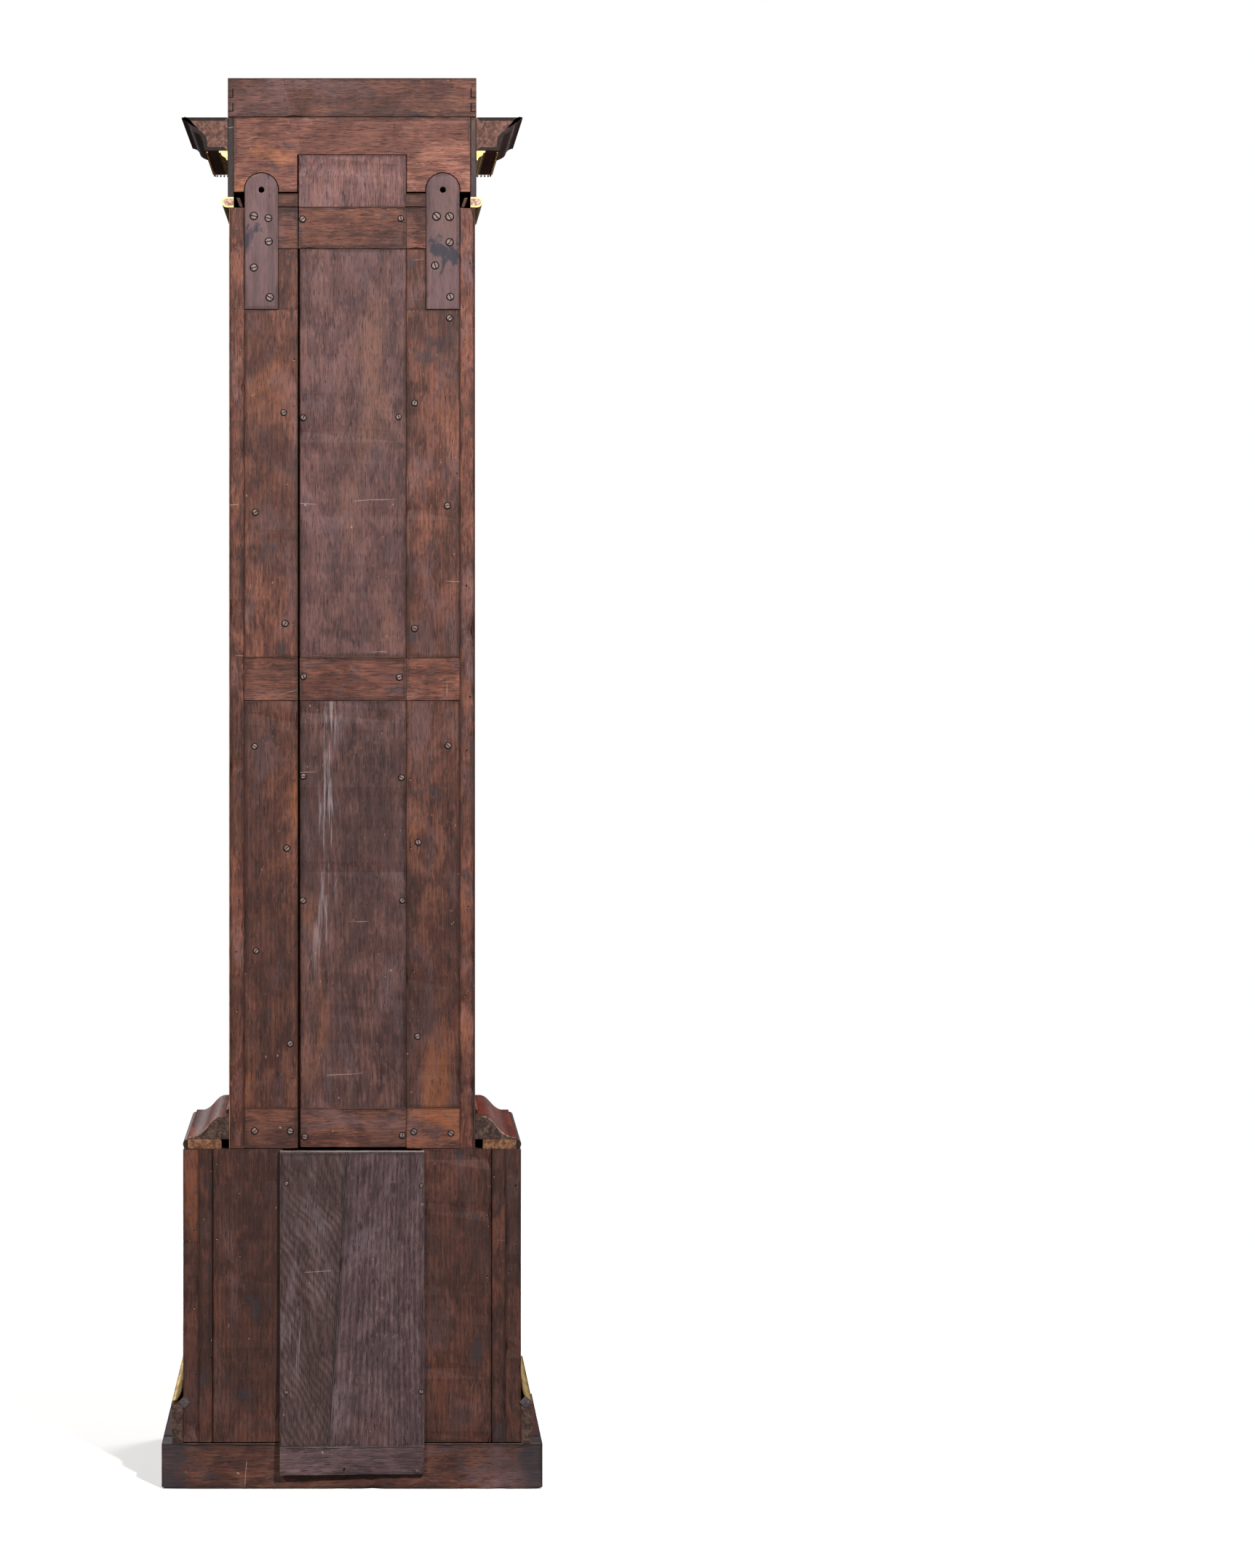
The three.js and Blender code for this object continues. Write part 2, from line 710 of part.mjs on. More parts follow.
function backPlate() {
  const pillars = [];
  for (const x of [-62, 62]) {
    for (const z of [seatTop + 16, plateTop - 14]) {
      pillars.push(rod(5, at(x, frontPlateRear + gap, z), at(x, backPlateFace + 1, z), 12));
    }
  }
  const cock = box(-15, 15, backPlateFace + 1, pendulumDepth + 11, palletArbor + 7, palletArbor + 14);
  return join(movementPlate(backPlateFace, [roundHole(0, palletArbor, 2.4)]), ...pillars, cock);
}

function dial() {
  const half = 148;
  const shape = rectangle(-half, dialCentre - half, half, dialCentre + half);
  shape.holes.push(
    roundHole(0, dialCentre, 6.5), roundHole(0, winding, 5.5), roundHole(0, secondsCentre, 3));
  return upright(shape, dialFace, dialFace + 2, 10);
}

add('seatboard', board(trunkInner - gap, trunkFront + 24, 28, seatTop - 18, seatTop), pine);
add('movement_front_plate', movementPlate(frontPlateFace, [
  roundHole(0, dialCentre, 3.4), roundHole(0, winding, 4.6), roundHole(0, secondsCentre, 1.9),
]), brass);
add('movement_back_plate', backPlate(), brass);
add('dial_plate', dial(), silvered);

const flange = barrelRadius + 7;
add('barrel', turned([
  [0, dialFace - 3], [3.2, dialFace - 3], [3.2, frontPlateFace - 2], [4, frontPlateFace - 2],
  [4, barrelDepth.front - 2], [flange, barrelDepth.front - 2], [flange, barrelDepth.front],
  [barrelRadius, barrelDepth.front], [barrelRadius, barrelDepth.rear], [flange, barrelDepth.rear],
  [flange, barrelDepth.rear + 2], [4, barrelDepth.rear + 2], [4, arborEnd], [0, arborEnd],
], 0, winding), brass);
add('great_wheel', turnedRing([[4.4, -5.5], [45.8, -5.5], [45.8, -3.2], [4.4, -3.2]], 0, winding, 36), brass);
add('centre_wheel', turned([
  [0, -33.2], [1.7, -33.2], [1.7, -11], [2.6, -11], [2.6, -6.5], [3.7, -6.5], [3.7, -2.5], [2.6, -2.5],
  [2.6, 17.5], [32, 17.5], [32, 19.5], [2.6, 19.5], [2.6, arborEnd], [0, arborEnd],
], 0, dialCentre, 26), brass);
add('third_wheel', turned([
  [0, -6.7], [1.5, -6.7], [1.5, 2], [25.9, 2], [25.9, 4], [1.5, 4], [1.5, 17], [3.7, 17], [3.7, 20],
  [1.5, 20], [1.5, arborEnd], [0, arborEnd],
], thirdArbor.x, thirdArbor.z, 22), brass);
add('escape_wheel', turned([
  [0, -28.8], [1.2, -28.8], [1.2, 1.5], [3.2, 1.5], [3.2, 5], [1.2, 5], [1.2, 12], [18, 12], [18, 13.5],
  [1.2, 13.5], [1.2, arborEnd], [0, arborEnd],
], 0, secondsCentre, 20), brass);

// The pallets, their arbor, and the crutch whose fork takes the pendulum rod.
function pallets() {
  const shape = new THREE.Shape();
  shape.moveTo(0, palletArbor + 5);
  shape.lineTo(11, palletArbor - 4);
  shape.lineTo(18, palletArbor - 14);
  shape.lineTo(15, palletArbor - 17.5);
  shape.lineTo(7, palletArbor - 6);
  shape.lineTo(0, palletArbor - 3);
  shape.lineTo(-7, palletArbor - 6);
  shape.lineTo(-15, palletArbor - 17.5);
  shape.lineTo(-18, palletArbor - 14);
  shape.lineTo(-11, palletArbor - 4);
  shape.closePath();
  const crutchEnd = palletArbor - 66;
  const forkRear = pendulumDepth + 7;
  const tine = (side) => box(
    side * (rodRadius + 1), side * (rodRadius + 3), 31, forkRear, crutchEnd - 3, crutchEnd + 3);
  return join(
    upright(shape, 11.5, 14),
    rod(1.5, at(0, -6.7, palletArbor), at(0, 32, palletArbor), 10),
    box(-2, 2, 29, 32, crutchEnd, palletArbor),
    box(-rodRadius - 3, rodRadius + 3, 29, 32, crutchEnd - 3, crutchEnd + 3),
    tine(-1),
    tine(1));
}

// Hands are drawn pointing up, then turned about the arbor. Clockwise is positive.
function hand(length, tail, width, hub, y0, y1, x, z, degrees) {
  const shape = new THREE.Shape();
  shape.moveTo(-width / 2, -tail);
  shape.lineTo(width / 2, -tail);
  shape.lineTo(width / 2, length * 0.6);
  shape.lineTo(width, length * 0.72);
  shape.lineTo(0, length);
  shape.lineTo(-width, length * 0.72);
  shape.lineTo(-width / 2, length * 0.6);
  shape.closePath();
  const boss = turned([[0, y0], [hub, y0], [hub, y1], [0, y1]], 0, 0, 20);
  const whole = join(upright(shape, y0, y1), boss);
  return whole.rotateY(THREE.MathUtils.degToRad(degrees)).translate(x, 0, z);
}

const time = { minute: 8 * 6, hour: (10 + 8 / 60) * 30, second: 0 };
add('pallets', pallets(), steel);
add('minute_hand', hand(104, 22, 3.4, 6, -35, -33.6, 0, dialCentre, time.minute), blued);
add('hour_hand', cut(
  join(
    hand(72, 12, 5, 8, -31.8, -30.6, 0, dialCentre, time.hour),
    turned([[0, -31], [4.5, -31], [4.5, -14.5], [22, -14.5], [22, -12.8], [0, -12.8]], 0, dialCentre, 20)),
  rod(2.1, at(0, -40, dialCentre), at(0, -11.5, dialCentre), 16)), blued);
add('seconds_hand', hand(22, 9, 1.4, 2.4, -29.9, -29.1, 0, secondsCentre, time.second), blued);

// ---------------------------------------------------------------- pendulum
function pendulumRod() {
  const spring = box(-6, 6, pendulumDepth - 0.4, pendulumDepth + 0.4, palletArbor - 8, palletArbor + 6.5);
  const shaft = rod(
    rodRadius, at(0, pendulumDepth, bobCentre - bobRadius - 30), at(0, pendulumDepth, palletArbor - 6));
  const nut = rod(9, at(0, pendulumDepth, bobCentre - bobRadius - 16), at(
    0, pendulumDepth, bobCentre - bobRadius - 4), 20);
  return join(spring, shaft, nut);
}

function pendulumBob() {
  const half = 17;
  const rim = 2.5;
  const front = new THREE.QuadraticBezierCurve(
    new THREE.Vector2(0, pendulumDepth - half),
    new THREE.Vector2(bobRadius * 0.62, pendulumDepth - half * 0.9),
    new THREE.Vector2(bobRadius, pendulumDepth - rim));
  const corners = front.getPoints(5).map((p) => [p.x, p.y]);
  const back = corners.map(([radius, y]) => [radius, 2 * pendulumDepth - y]).reverse();
  const bore = rod(
    rodRadius + gap, at(0, pendulumDepth, bobCentre - bobRadius - 1),
    at(0, pendulumDepth, bobCentre + bobRadius + 1), 12);
  return cut(turned([...corners, ...back], 0, bobCentre, 28), bore);
}

add('pendulum_rod', pendulumRod(), steel);
add('pendulum_bob', pendulumBob(), brass);

export default clock;
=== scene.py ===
import math
import random

import bmesh
import bpy
from mathutils import Matrix, Vector, noise


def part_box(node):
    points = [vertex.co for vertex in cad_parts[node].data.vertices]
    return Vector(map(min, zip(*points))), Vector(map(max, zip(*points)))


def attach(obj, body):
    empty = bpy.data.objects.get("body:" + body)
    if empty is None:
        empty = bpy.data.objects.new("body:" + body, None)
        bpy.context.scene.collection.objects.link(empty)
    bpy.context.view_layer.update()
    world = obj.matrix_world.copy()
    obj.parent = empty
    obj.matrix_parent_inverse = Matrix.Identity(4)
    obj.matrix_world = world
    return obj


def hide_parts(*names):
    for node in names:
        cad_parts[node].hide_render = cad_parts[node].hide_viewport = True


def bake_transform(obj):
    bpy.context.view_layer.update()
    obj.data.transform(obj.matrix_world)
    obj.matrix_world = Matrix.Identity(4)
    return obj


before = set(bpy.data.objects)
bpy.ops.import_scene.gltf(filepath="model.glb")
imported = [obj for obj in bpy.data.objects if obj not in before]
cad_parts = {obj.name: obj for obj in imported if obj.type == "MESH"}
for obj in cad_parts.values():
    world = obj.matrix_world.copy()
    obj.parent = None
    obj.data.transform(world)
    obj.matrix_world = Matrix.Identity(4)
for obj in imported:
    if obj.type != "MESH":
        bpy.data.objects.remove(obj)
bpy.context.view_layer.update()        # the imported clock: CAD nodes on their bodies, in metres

mm = 0.001
rear = 0.136             # the plane of the back boards


def span(*values):
    return tuple(value * mm for value in values)


def tint(code):
    parts = [int(code[i:i + 2], 16) / 255 for i in (0, 2, 4)]
    linear = [p / 12.92 if p <= 0.04045 else ((p + 0.055) / 1.055) ** 2.4 for p in parts]
    return (*linear, 1.0)


# camera, lights and floor

studio = {
    "eye": (-0.018, 4.616, 1.327), "lens": 68.0, "shift": (0.168, -0.11),
    "floorFade": (1.3, 2.5), "floor": "ecebe9", "bounce": "8b8986", "sky": (0.03, 0.2),
    # place, size, power, aim
    "lamps": [
        ((-2.7, 4.3, 4.6), 0.32, 530, (0, 0, 1.1)),
        ((2.9, 4.5, 4.3), 0.5, 235, (0, 0, 1.1)),
        ((2.6, -4.2, 3.6), 2.2, 260, (0, 0, 1.0)),
        ((-3.2, -2.6, 2.4), 2.0, 130, (0, 0, 1.0)),
    ],
}


def aim(thing, target):
    thing.rotation_euler = (Vector(target) - thing.location).to_track_quat("-Z", "Y").to_euler()


def setStudio(look):
    scene = bpy.context.scene
    lens = bpy.data.cameras.new("camera")
    lens.lens = look["lens"]
    lens.shift_x, lens.shift_y = look["shift"]
    camera = bpy.data.objects.new("camera", lens)
    camera.location = look["eye"]
    camera.rotation_euler = (math.pi / 2, 0, math.pi)
    scene.collection.objects.link(camera)
    scene.camera = camera
    scene.view_settings.view_transform = "Standard"
    for number, (place, size, power, target) in enumerate(look["lamps"]):
        light = bpy.data.lights.new(f"softbox{number}", "AREA")
        light.shape = "DISK"
        light.size = size
        light.energy = power
        lamp = bpy.data.objects.new(f"softbox{number}", light)
        lamp.location = place
        aim(lamp, target)
        scene.collection.objects.link(lamp)


# shader and geometry nodes as expressions

class Wire:
    # one output socket, with arithmetic
    def __init__(self, owner, socket):
        self.owner = owner
        self.socket = socket

    def out(self, name):
        return Wire(self.owner, self.socket.node.outputs[name])

    def math(self, operation, *others):
        return self.owner.node("ShaderNodeMath", {"operation": operation}, [self, *others])

    def __add__(self, other):
        return self.math("ADD", other)

    def __sub__(self, other):
        return self.math("SUBTRACT", other)

    def __rsub__(self, other):
        return self.owner.node("ShaderNodeMath", {"operation": "SUBTRACT"}, [other, self])

    def __mul__(self, other):
        return self.math("MULTIPLY", other)

    def __truediv__(self, other):
        return self.math("DIVIDE", other)

    def __abs__(self):
        return self.math("ABSOLUTE")

    def least(self, other):
        return self.math("MINIMUM", other)

    def most(self, other):
        return self.math("MAXIMUM", other)

    def sine(self):
        return self.math("SINE")

    __radd__ = __add__
    __rmul__ = __mul__


class NodeTree:
    def __init__(self, tree):
        self.tree = tree

    def node(self, kind, settings=None, sockets=(), pick=0):
        made = self.tree.nodes.new(kind)
        for name, value in (settings or {}).items():
            setattr(made, name, value)
        pairs = sockets.items() if isinstance(sockets, dict) else enumerate(sockets)
        for key, value in pairs:
            if isinstance(value, Wire):
                self.tree.links.new(value.socket, made.inputs[key])
            else:
                made.inputs[key].default_value = value
        return Wire(self, made.outputs[pick]) if len(made.outputs) else made


class Paint(NodeTree):
    # one material
    def __init__(self, name):
        self.material = bpy.data.materials.new(name)
        self.material.use_nodes = True
        super().__init__(self.material.node_tree)
        self.tree.nodes.clear()

    def attribute(self, name):
        return self.node("ShaderNodeAttribute", {"attribute_name": name}).out("Vector")

    def objectPlace(self):
        return self.node("ShaderNodeTexCoord").out("Object")

    def split(self, vector):
        parts = self.node("ShaderNodeSeparateXYZ", None, [vector])
        return [parts.out(axis) for axis in "XYZ"]

    def join(self, x, y, z):
        return self.node("ShaderNodeCombineXYZ", None, [x, y, z])

    def noise(self, vector, detail=3.0, rough=0.55, warp=0.0):
        return self.node("ShaderNodeTexNoise", None, {
            "Vector": vector, "Scale": 1.0, "Detail": detail, "Roughness": rough, "Distortion": warp})

    def cloud(self, scale, detail=3.0, rough=0.55, warp=0.0):
        return self.node("ShaderNodeTexNoise", None, {
            "Vector": self.objectPlace(), "Scale": scale, "Detail": detail, "Roughness": rough,
            "Distortion": warp})

    def ease(self, value, low, high):
        return self.node("ShaderNodeMapRange", {"interpolation_type": "SMOOTHSTEP"}, {
            "Value": value, "From Min": low, "From Max": high})

    def blend(self, amount, first, second, mode="MIX"):
        return self.node("ShaderNodeMix", {"data_type": "RGBA", "blend_type": mode}, {
            0: amount, 6: first, 7: second}, 2)

    def bump(self, height, strength, distance=0.001):
        return self.node("ShaderNodeBump", None, {
            "Strength": strength, "Distance": distance, "Height": height})

    def surface(self, values):
        shader = self.node("ShaderNodeBsdfPrincipled", None, values)
        self.node("ShaderNodeOutputMaterial", None, {"Surface": shader})
        return self.material


# every board carries three vectors on its points: place is across, along and into the board,
# half is half its size those ways, and mark is a seed, a tone (0 plain, 1 lighter) and how
# strongly the grain is figured

def woodFinish(name, look):
    paint = Paint(name)
    u, v, w = paint.split(paint.attribute("place"))
    halfU, halfV, halfW = paint.split(paint.attribute("half"))
    seed, tone, figure = paint.split(paint.attribute("mark"))
    across, along, into = u + seed * 1.7, v + seed * 2.3, w + seed * 0.9

    def grain(acrossScale, alongScale, detail=3.0, warp=0.0):
        return paint.noise(
            paint.join(across * acrossScale, along * alongScale, into * acrossScale), detail, 0.58, warp)

    streak = paint.ease(grain(105, 5, 4), 0.36, 0.64)
    fibre = paint.ease(grain(400, 38), 0.38, 0.62)
    mottle = paint.ease(grain(36, 17, 4, 0.6), 0.38, 0.62)
    pores = paint.ease(grain(820, 60, 2), 0.54, 0.66)
    rays = paint.ease(grain(190, 75, 1), 0.6, 0.72)
    blotch = paint.ease(grain(9, 5, 4), 0.38, 0.62)
    rubbed = paint.ease(grain(6.5, 2.4, 5, 0.7), look["rubFrom"], look["rubFrom"] + 0.13)
    smudge = paint.ease(grain(26, 16, 5, 0.5), look["smudgeFrom"], look["smudgeFrom"] + 0.07)
    bend = grain(look["wave"][0], look["wave"][1], 2, 0.3)
    haze = paint.ease(grain(15, 7, 4, 0.8), 0.5, 0.66)
    leaning = across + along * look["lean"]
    rings = (leaning * look["ringCount"] + bend * look["ringBend"]).sine() * 0.5 + 0.5

    # the second smallest distance to the board's faces is the distance to its nearest arris
    du, dv, dw = halfU - abs(u), halfV - abs(v), halfW - abs(w)
    arris = du.least(dv).most(du.most(dv).least(dw))
    ragged = arris + (grain(240, 45, 3) - 0.5) * 0.0026
    worn = 1 - paint.ease(ragged, 0.0002, 0.0015)
    grime = 1 - paint.ease(ragged + (blotch - 0.5) * 0.006, 0.0006, 0.005)

    # old tool marks: thin straight cuts that come and go
    waver = grain(11, 7, 2)
    where = paint.noise(paint.join((u + w) * 13 + seed, v * 11 + seed * 5, seed * 2), 2, 0.5)

    def scored(slant, pitch, drift, width):
        run = (u + w) * math.sin(slant) + v * math.cos(slant) + waver * 0.011 + seed * drift
        near = abs((run / pitch).math("FRACT") - 0.5) * pitch
        return 1 - paint.ease(near, width * 0.3, width)

    scratch = scored(0.05, 0.23, 0.37, 0.0008).most(scored(1.25, 0.17, 0.53, 0.0005) * 0.6)
    scratch = scratch * paint.ease(where, 0.6, 0.66)
    sawn = scored(0.04, 0.27, 0.71, 0.0011) * (1 - paint.ease(where, 0.38, 0.46))
    specks = paint.noise(paint.join(across * 170, along * 120, into * 170), 1)
    chips = paint.ease(specks, 0.765, 0.79) * paint.ease(where, 0.5, 0.56)

    colour = paint.blend(streak, tint(look["deep"]), tint(look["body"]))
    colour = paint.blend(fibre * look["fibre"], colour, tint(look["light"]))
    colour = paint.blend(mottle * look["mottle"], colour, tint(look["light"]))
    colour = paint.blend((1 - mottle) * look["mottle"], colour, tint(look["deep"]))
    colour = paint.blend(rings * figure, colour, tint(look["ring"]))
    colour = paint.blend(rays * look["rays"], colour, tint(look["light"]))
    colour = paint.blend(haze * look["haze"], colour, tint(look["bloom"]))
    colour = paint.blend((1 - blotch) * look["blotch"], colour, tint(look["deep"]))
    colour = paint.blend(rubbed * look["rub"], colour, tint(look["rubbed"]))
    colour = paint.blend(pores * look["pores"], colour, tint(look["pore"]))
    colour = paint.blend(smudge * look["smudge"], colour, tint(look["stain"]))
    if look["endStain"]:
        soaked = 1 - paint.ease(dv + (grain(34, 26, 5) - 0.5) * 0.16, 0.02, 0.07)
        colour = paint.blend(soaked * look["endStain"], colour, tint(look["stain"]))
    if look["waxRuns"]:
        centre, reach, first, last = look["waxRuns"]
        inside = 1 - paint.ease(abs(u - centre + (v - first) * 0.05), reach * 0.3, reach)
        inside = inside * paint.ease(v, first, first + 0.12) * (1 - paint.ease(v, last, last + 0.02))
        runs = paint.ease(grain(150, 7, 4, 0.3), 0.5, 0.63) * inside
        colour = paint.blend(runs * 0.4, colour, tint("a39a9e"))
    colour = paint.node("ShaderNodeHueSaturation", None, {
        "Hue": 0.5, "Saturation": 1.0, "Value": tone * 0.5 + 1.0, "Fac": 1.0, "Color": colour})
    colour = paint.blend(grime * look["grime"], colour, tint(look["pore"]))
    colour = paint.blend(worn * look["worn"], colour, tint(look["arris"]))
    colour = paint.blend(sawn * look["scratch"], colour, tint(look["pore"]))
    colour = paint.blend(scratch.most(chips) * look["scratch"], colour, tint(look["dust"]))
    endways = 1 - paint.ease(dv, 0.00005, 0.0002)
    colour = paint.blend(endways * 0.55, colour, tint(look["pore"]))

    height = fibre * 0.35 + (1 - pores) * 0.6 + rings * figure * 0.5 - scratch * 0.6
    rough = look["rough"] + pores * 0.12 - rubbed * 0.06 + (fibre - 0.5) * 0.05
    return paint.surface({
        "Base Color": colour, "Roughness": rough, "Specular IOR Level": look["gloss"],
        "Coat Weight": look["coat"], "Coat Roughness": 0.18,
        "Normal": paint.bump(height, look["relief"], 0.0006)})


plainOak = {
    "deep": "2c1410", "body": "552b20", "light": "80503e", "ring": "351912", "pore": "150a09",
    "rubbed": "945733", "stain": "25242b", "arris": "7c4a30", "dust": "cdb19b", "bloom": "6b5457",
    "fibre": 0.5, "mottle": 0.4, "rays": 0.35, "blotch": 0.5, "rub": 0.5, "rubFrom": 0.58,
    "haze": 0.33, "pores": 0.7, "smudge": 0.5, "grime": 0.45, "worn": 0.25, "scratch": 0.28,
    "smudgeFrom": 0.6,
    "ringCount": 900, "ringBend": 60, "lean": 0.0, "wave": (3.4, 0.5), "endStain": 0.0,
    "waxRuns": None,
    "rough": 0.6, "gloss": 0.32, "coat": 0.0, "relief": 0.5,
}
woodLooks = {
    "agedOak": {},
    "longBoardOak": {
        "deep": "352020", "body": "523434", "light": "78524a", "ring": "331f1e",
        "rubbed": "80553f", "rub": 0.28, "haze": 0.3, "smudge": 0.2, "blotch": 0.25,
        "ringCount": 700, "ringBend": 75},
    "waxedOak": {
        "deep": "2f1c1b", "body": "4a2e2c", "light": "6f4b42", "ring": "2b1817",
        "rubbed": "7c4c34", "rub": 0.45, "smudge": 0.2, "blotch": 0.45, "ringCount": 520,
        "ringBend": 95, "wave": (4.5, 1.1), "waxRuns": (0.052, 0.022, -0.14, 0.3)},
    "plinthOak": {
        "light": "7c503f", "endStain": 0.7, "haze": 0.6},
    "baseOak": {
        "deep": "26120e", "body": "40221a", "light": "62392c", "ring": "2b160f",
        "rubbed": "74412a", "arris": "6a4030", "pore": "120808", "haze": 0.15, "rub": 0.6},
    "hoodOak": {
        "deep": "46241c", "body": "714034", "light": "a06a58", "ring": "48241b",
        "rubbed": "ac6b3e", "rub": 0.55, "scratch": 0.8, "blotch": 0.65},
    "coverOak": {
        "deep": "352326", "body": "4e3839", "light": "6d5556", "ring": "2c1b1d",
        "rubbed": "6a4a42", "rub": 0.25, "smudge": 0.1, "arris": "8b7c79", "worn": 0.3,
        "haze": 0.3, "bloom": "7a686c", "ringCount": 760, "ringBend": 45, "rough": 0.7,
        "relief": 0.8},
    "coverCurl": {
        "deep": "33211f", "body": "4a3433", "light": "66504e", "ring": "271817",
        "rubbed": "664438", "rub": 0.2, "smudge": 0.1, "arris": "8b7c79", "worn": 0.3,
        "haze": 0.35, "bloom": "75646a", "ringCount": 470, "ringBend": 30, "lean": -0.7,
        "wave": (9, 9), "waxRuns": (0.028, 0.014, -0.17, -0.01), "rough": 0.7, "relief": 0.8},
    "strapOak": {
        "deep": "52403f", "body": "644c4d", "light": "765b5b", "ring": "52403f",
        "pore": "281d1f", "rubbed": "674b42", "stain": "2a2d36", "rub": 0.3, "fibre": 0.25,
        "mottle": 0.15, "haze": 0.2, "smudgeFrom": 0.56, "blotch": 0.3, "rays": 0.08, "pores": 0.25,
        "smudge": 0.85, "grime": 0.4, "worn": 0.1, "scratch": 0.2, "rough": 0.74, "gloss": 0.2,
        "relief": 0.2},
    "oldPine": {
        "deep": "835832", "body": "ac7b48", "light": "cf9f66", "ring": "946436",
        "pore": "5c3618", "rubbed": "dcb27a", "stain": "6a4020", "arris": "d8b080", "rub": 0.4,
        "rays": 0.1, "haze": 0.0, "pores": 0.3, "blotch": 0.5, "rough": 0.55, "ringCount": 420},
    "mahogany": {
        "deep": "2b0b06", "body": "4d1a0e", "light": "702c17", "ring": "300d07",
        "pore": "190604", "rubbed": "7c3318", "stain": "200805", "arris": "6a2c14", "rub": 0.35,
        "fibre": 0.5, "mottle": 0.25, "rays": 0.15, "grime": 0.3, "worn": 0.2, "scratch": 0.08,
        "smudge": 0.15, "haze": 0.0, "ringCount": 260, "ringBend": 30, "rough": 0.36, "gloss": 0.3,
        "coat": 0.16, "relief": 0.12},
    "veneerEdge": {
        "deep": "7a4426", "body": "a5622f", "light": "c98a4c", "rubbed": "d59a5c",
        "grime": 0.15, "smudge": 0.5},
    # a pale strip along the cover's top edge: wear, and a painted highlight of its lit top
    "wornLip": {
        "deep": "655453", "body": "85736f", "light": "a3948f", "grime": 0.1,
        "arris": "9a8c88", "rub": 0.1, "smudge": 0.3},
    "inkEdge": {
        "deep": "221d20", "body": "382b2b", "light": "57403a", "ring": "251e1f",
        "rubbed": "684230", "rub": 0.5, "arris": "5c4a42", "bloom": "4a4248"},
    # a paler, redder copy of the mahogany with a duller gloss: painted light on the tops of the shoulder
    # moulding and astragal
    "dulledMahogany": {
        "deep": "3a0f07", "body": "6a2414", "light": "8c3a20", "ring": "40120a",
        "rubbed": "8a3c20", "arris": "7a3519", "fibre": 0.5, "rub": 0.3, "grime": 0.2,
        "haze": 0.0, "scratch": 0.08, "ringCount": 260, "rough": 0.5, "gloss": 0.12,
        "relief": 0.12},
    "shadowMahogany": {
        "deep": "250a06", "body": "42160c", "light": "602613", "ring": "2a0c06",
        "rubbed": "6a2c16", "arris": "5a2612", "fibre": 0.5, "rub": 0.3, "grime": 0.2,
        "haze": 0.0, "scratch": 0.08, "ringCount": 260, "rough": 0.5, "gloss": 0.14,
        "relief": 0.15},
}
woods = {name: woodFinish(name, {**plainOak, **look}) for name, look in woodLooks.items()}


def endGrain(name, dark, pale, rough=0.8):
    paint = Paint(name)
    x, y, z = paint.split(paint.objectPlace())
    rings = paint.noise(paint.join(x * 90 + z * 160, y * 60, z * 90 - x * 160), 3, 0.6, 0.5)
    ticks = paint.ease(paint.cloud(1500, 2), 0.5, 0.66)
    stain = paint.ease(paint.cloud(60, 3, 0.6, 0.5), 0.42, 0.62)
    colour = paint.blend(paint.ease(rings, 0.35, 0.65), tint(dark), tint(pale))
    colour = paint.blend(stain * 0.6, colour, tint(dark))
    colour = paint.blend(ticks * 0.5, colour, tint("120a08"))
    return paint.surface({
        "Base Color": colour, "Roughness": rough + ticks * 0.1, "Specular IOR Level": 0.2,
        "Normal": paint.bump(rings + ticks * -0.5, 0.4, 0.0006)})


endLooks = {
    "oakEnd": ("2c1d19", "57443b"),
    "corniceEnd": ("48322d", "7a574b"),
    # near-black: painted shade for nail holes, joint lines and the gaps round screw heads
    "veneerDark": ("15100f", "2a1c18", 0.6),
    "veneerPale": ("5a4438", "a58c74", 0.6),
    "darkGap": ("0a0707", "150e0d", 0.9),
    "coreEnd": ("8a6255", "dcb9a4", 0.8),
    "packingEnd": ("4c2f22", "8e6448", 0.8),
}
ends = {name: endGrain(name, *look) for name, look in endLooks.items()}


def metalFinish(name, look):
    paint = Paint(name)
    tarnish = paint.ease(paint.cloud(look["patch"], 4, 0.6, 0.4), 0.4, 0.64)
    speck = paint.ease(paint.cloud(look["patch"] * 9, 3), 0.54, 0.68)
    x, y, z = paint.split(paint.objectPlace())
    brushed = paint.noise(paint.join(x * 60, y * 900, z * 900), 2)
    colour = paint.blend(tarnish, tint(look["bright"]), tint(look["dull"]))
    colour = paint.blend(speck * look["speck"], colour, tint(look["spot"]))
    rough = look["rough"] + tarnish * 0.14 + (brushed - 0.5) * 0.12
    height = brushed * 0.4 + speck * -0.6
    return paint.surface({
        "Base Color": colour, "Roughness": rough, "Metallic": look["metal"] - speck * 0.3,
        "Normal": paint.bump(height, look["relief"], 0.0004)})


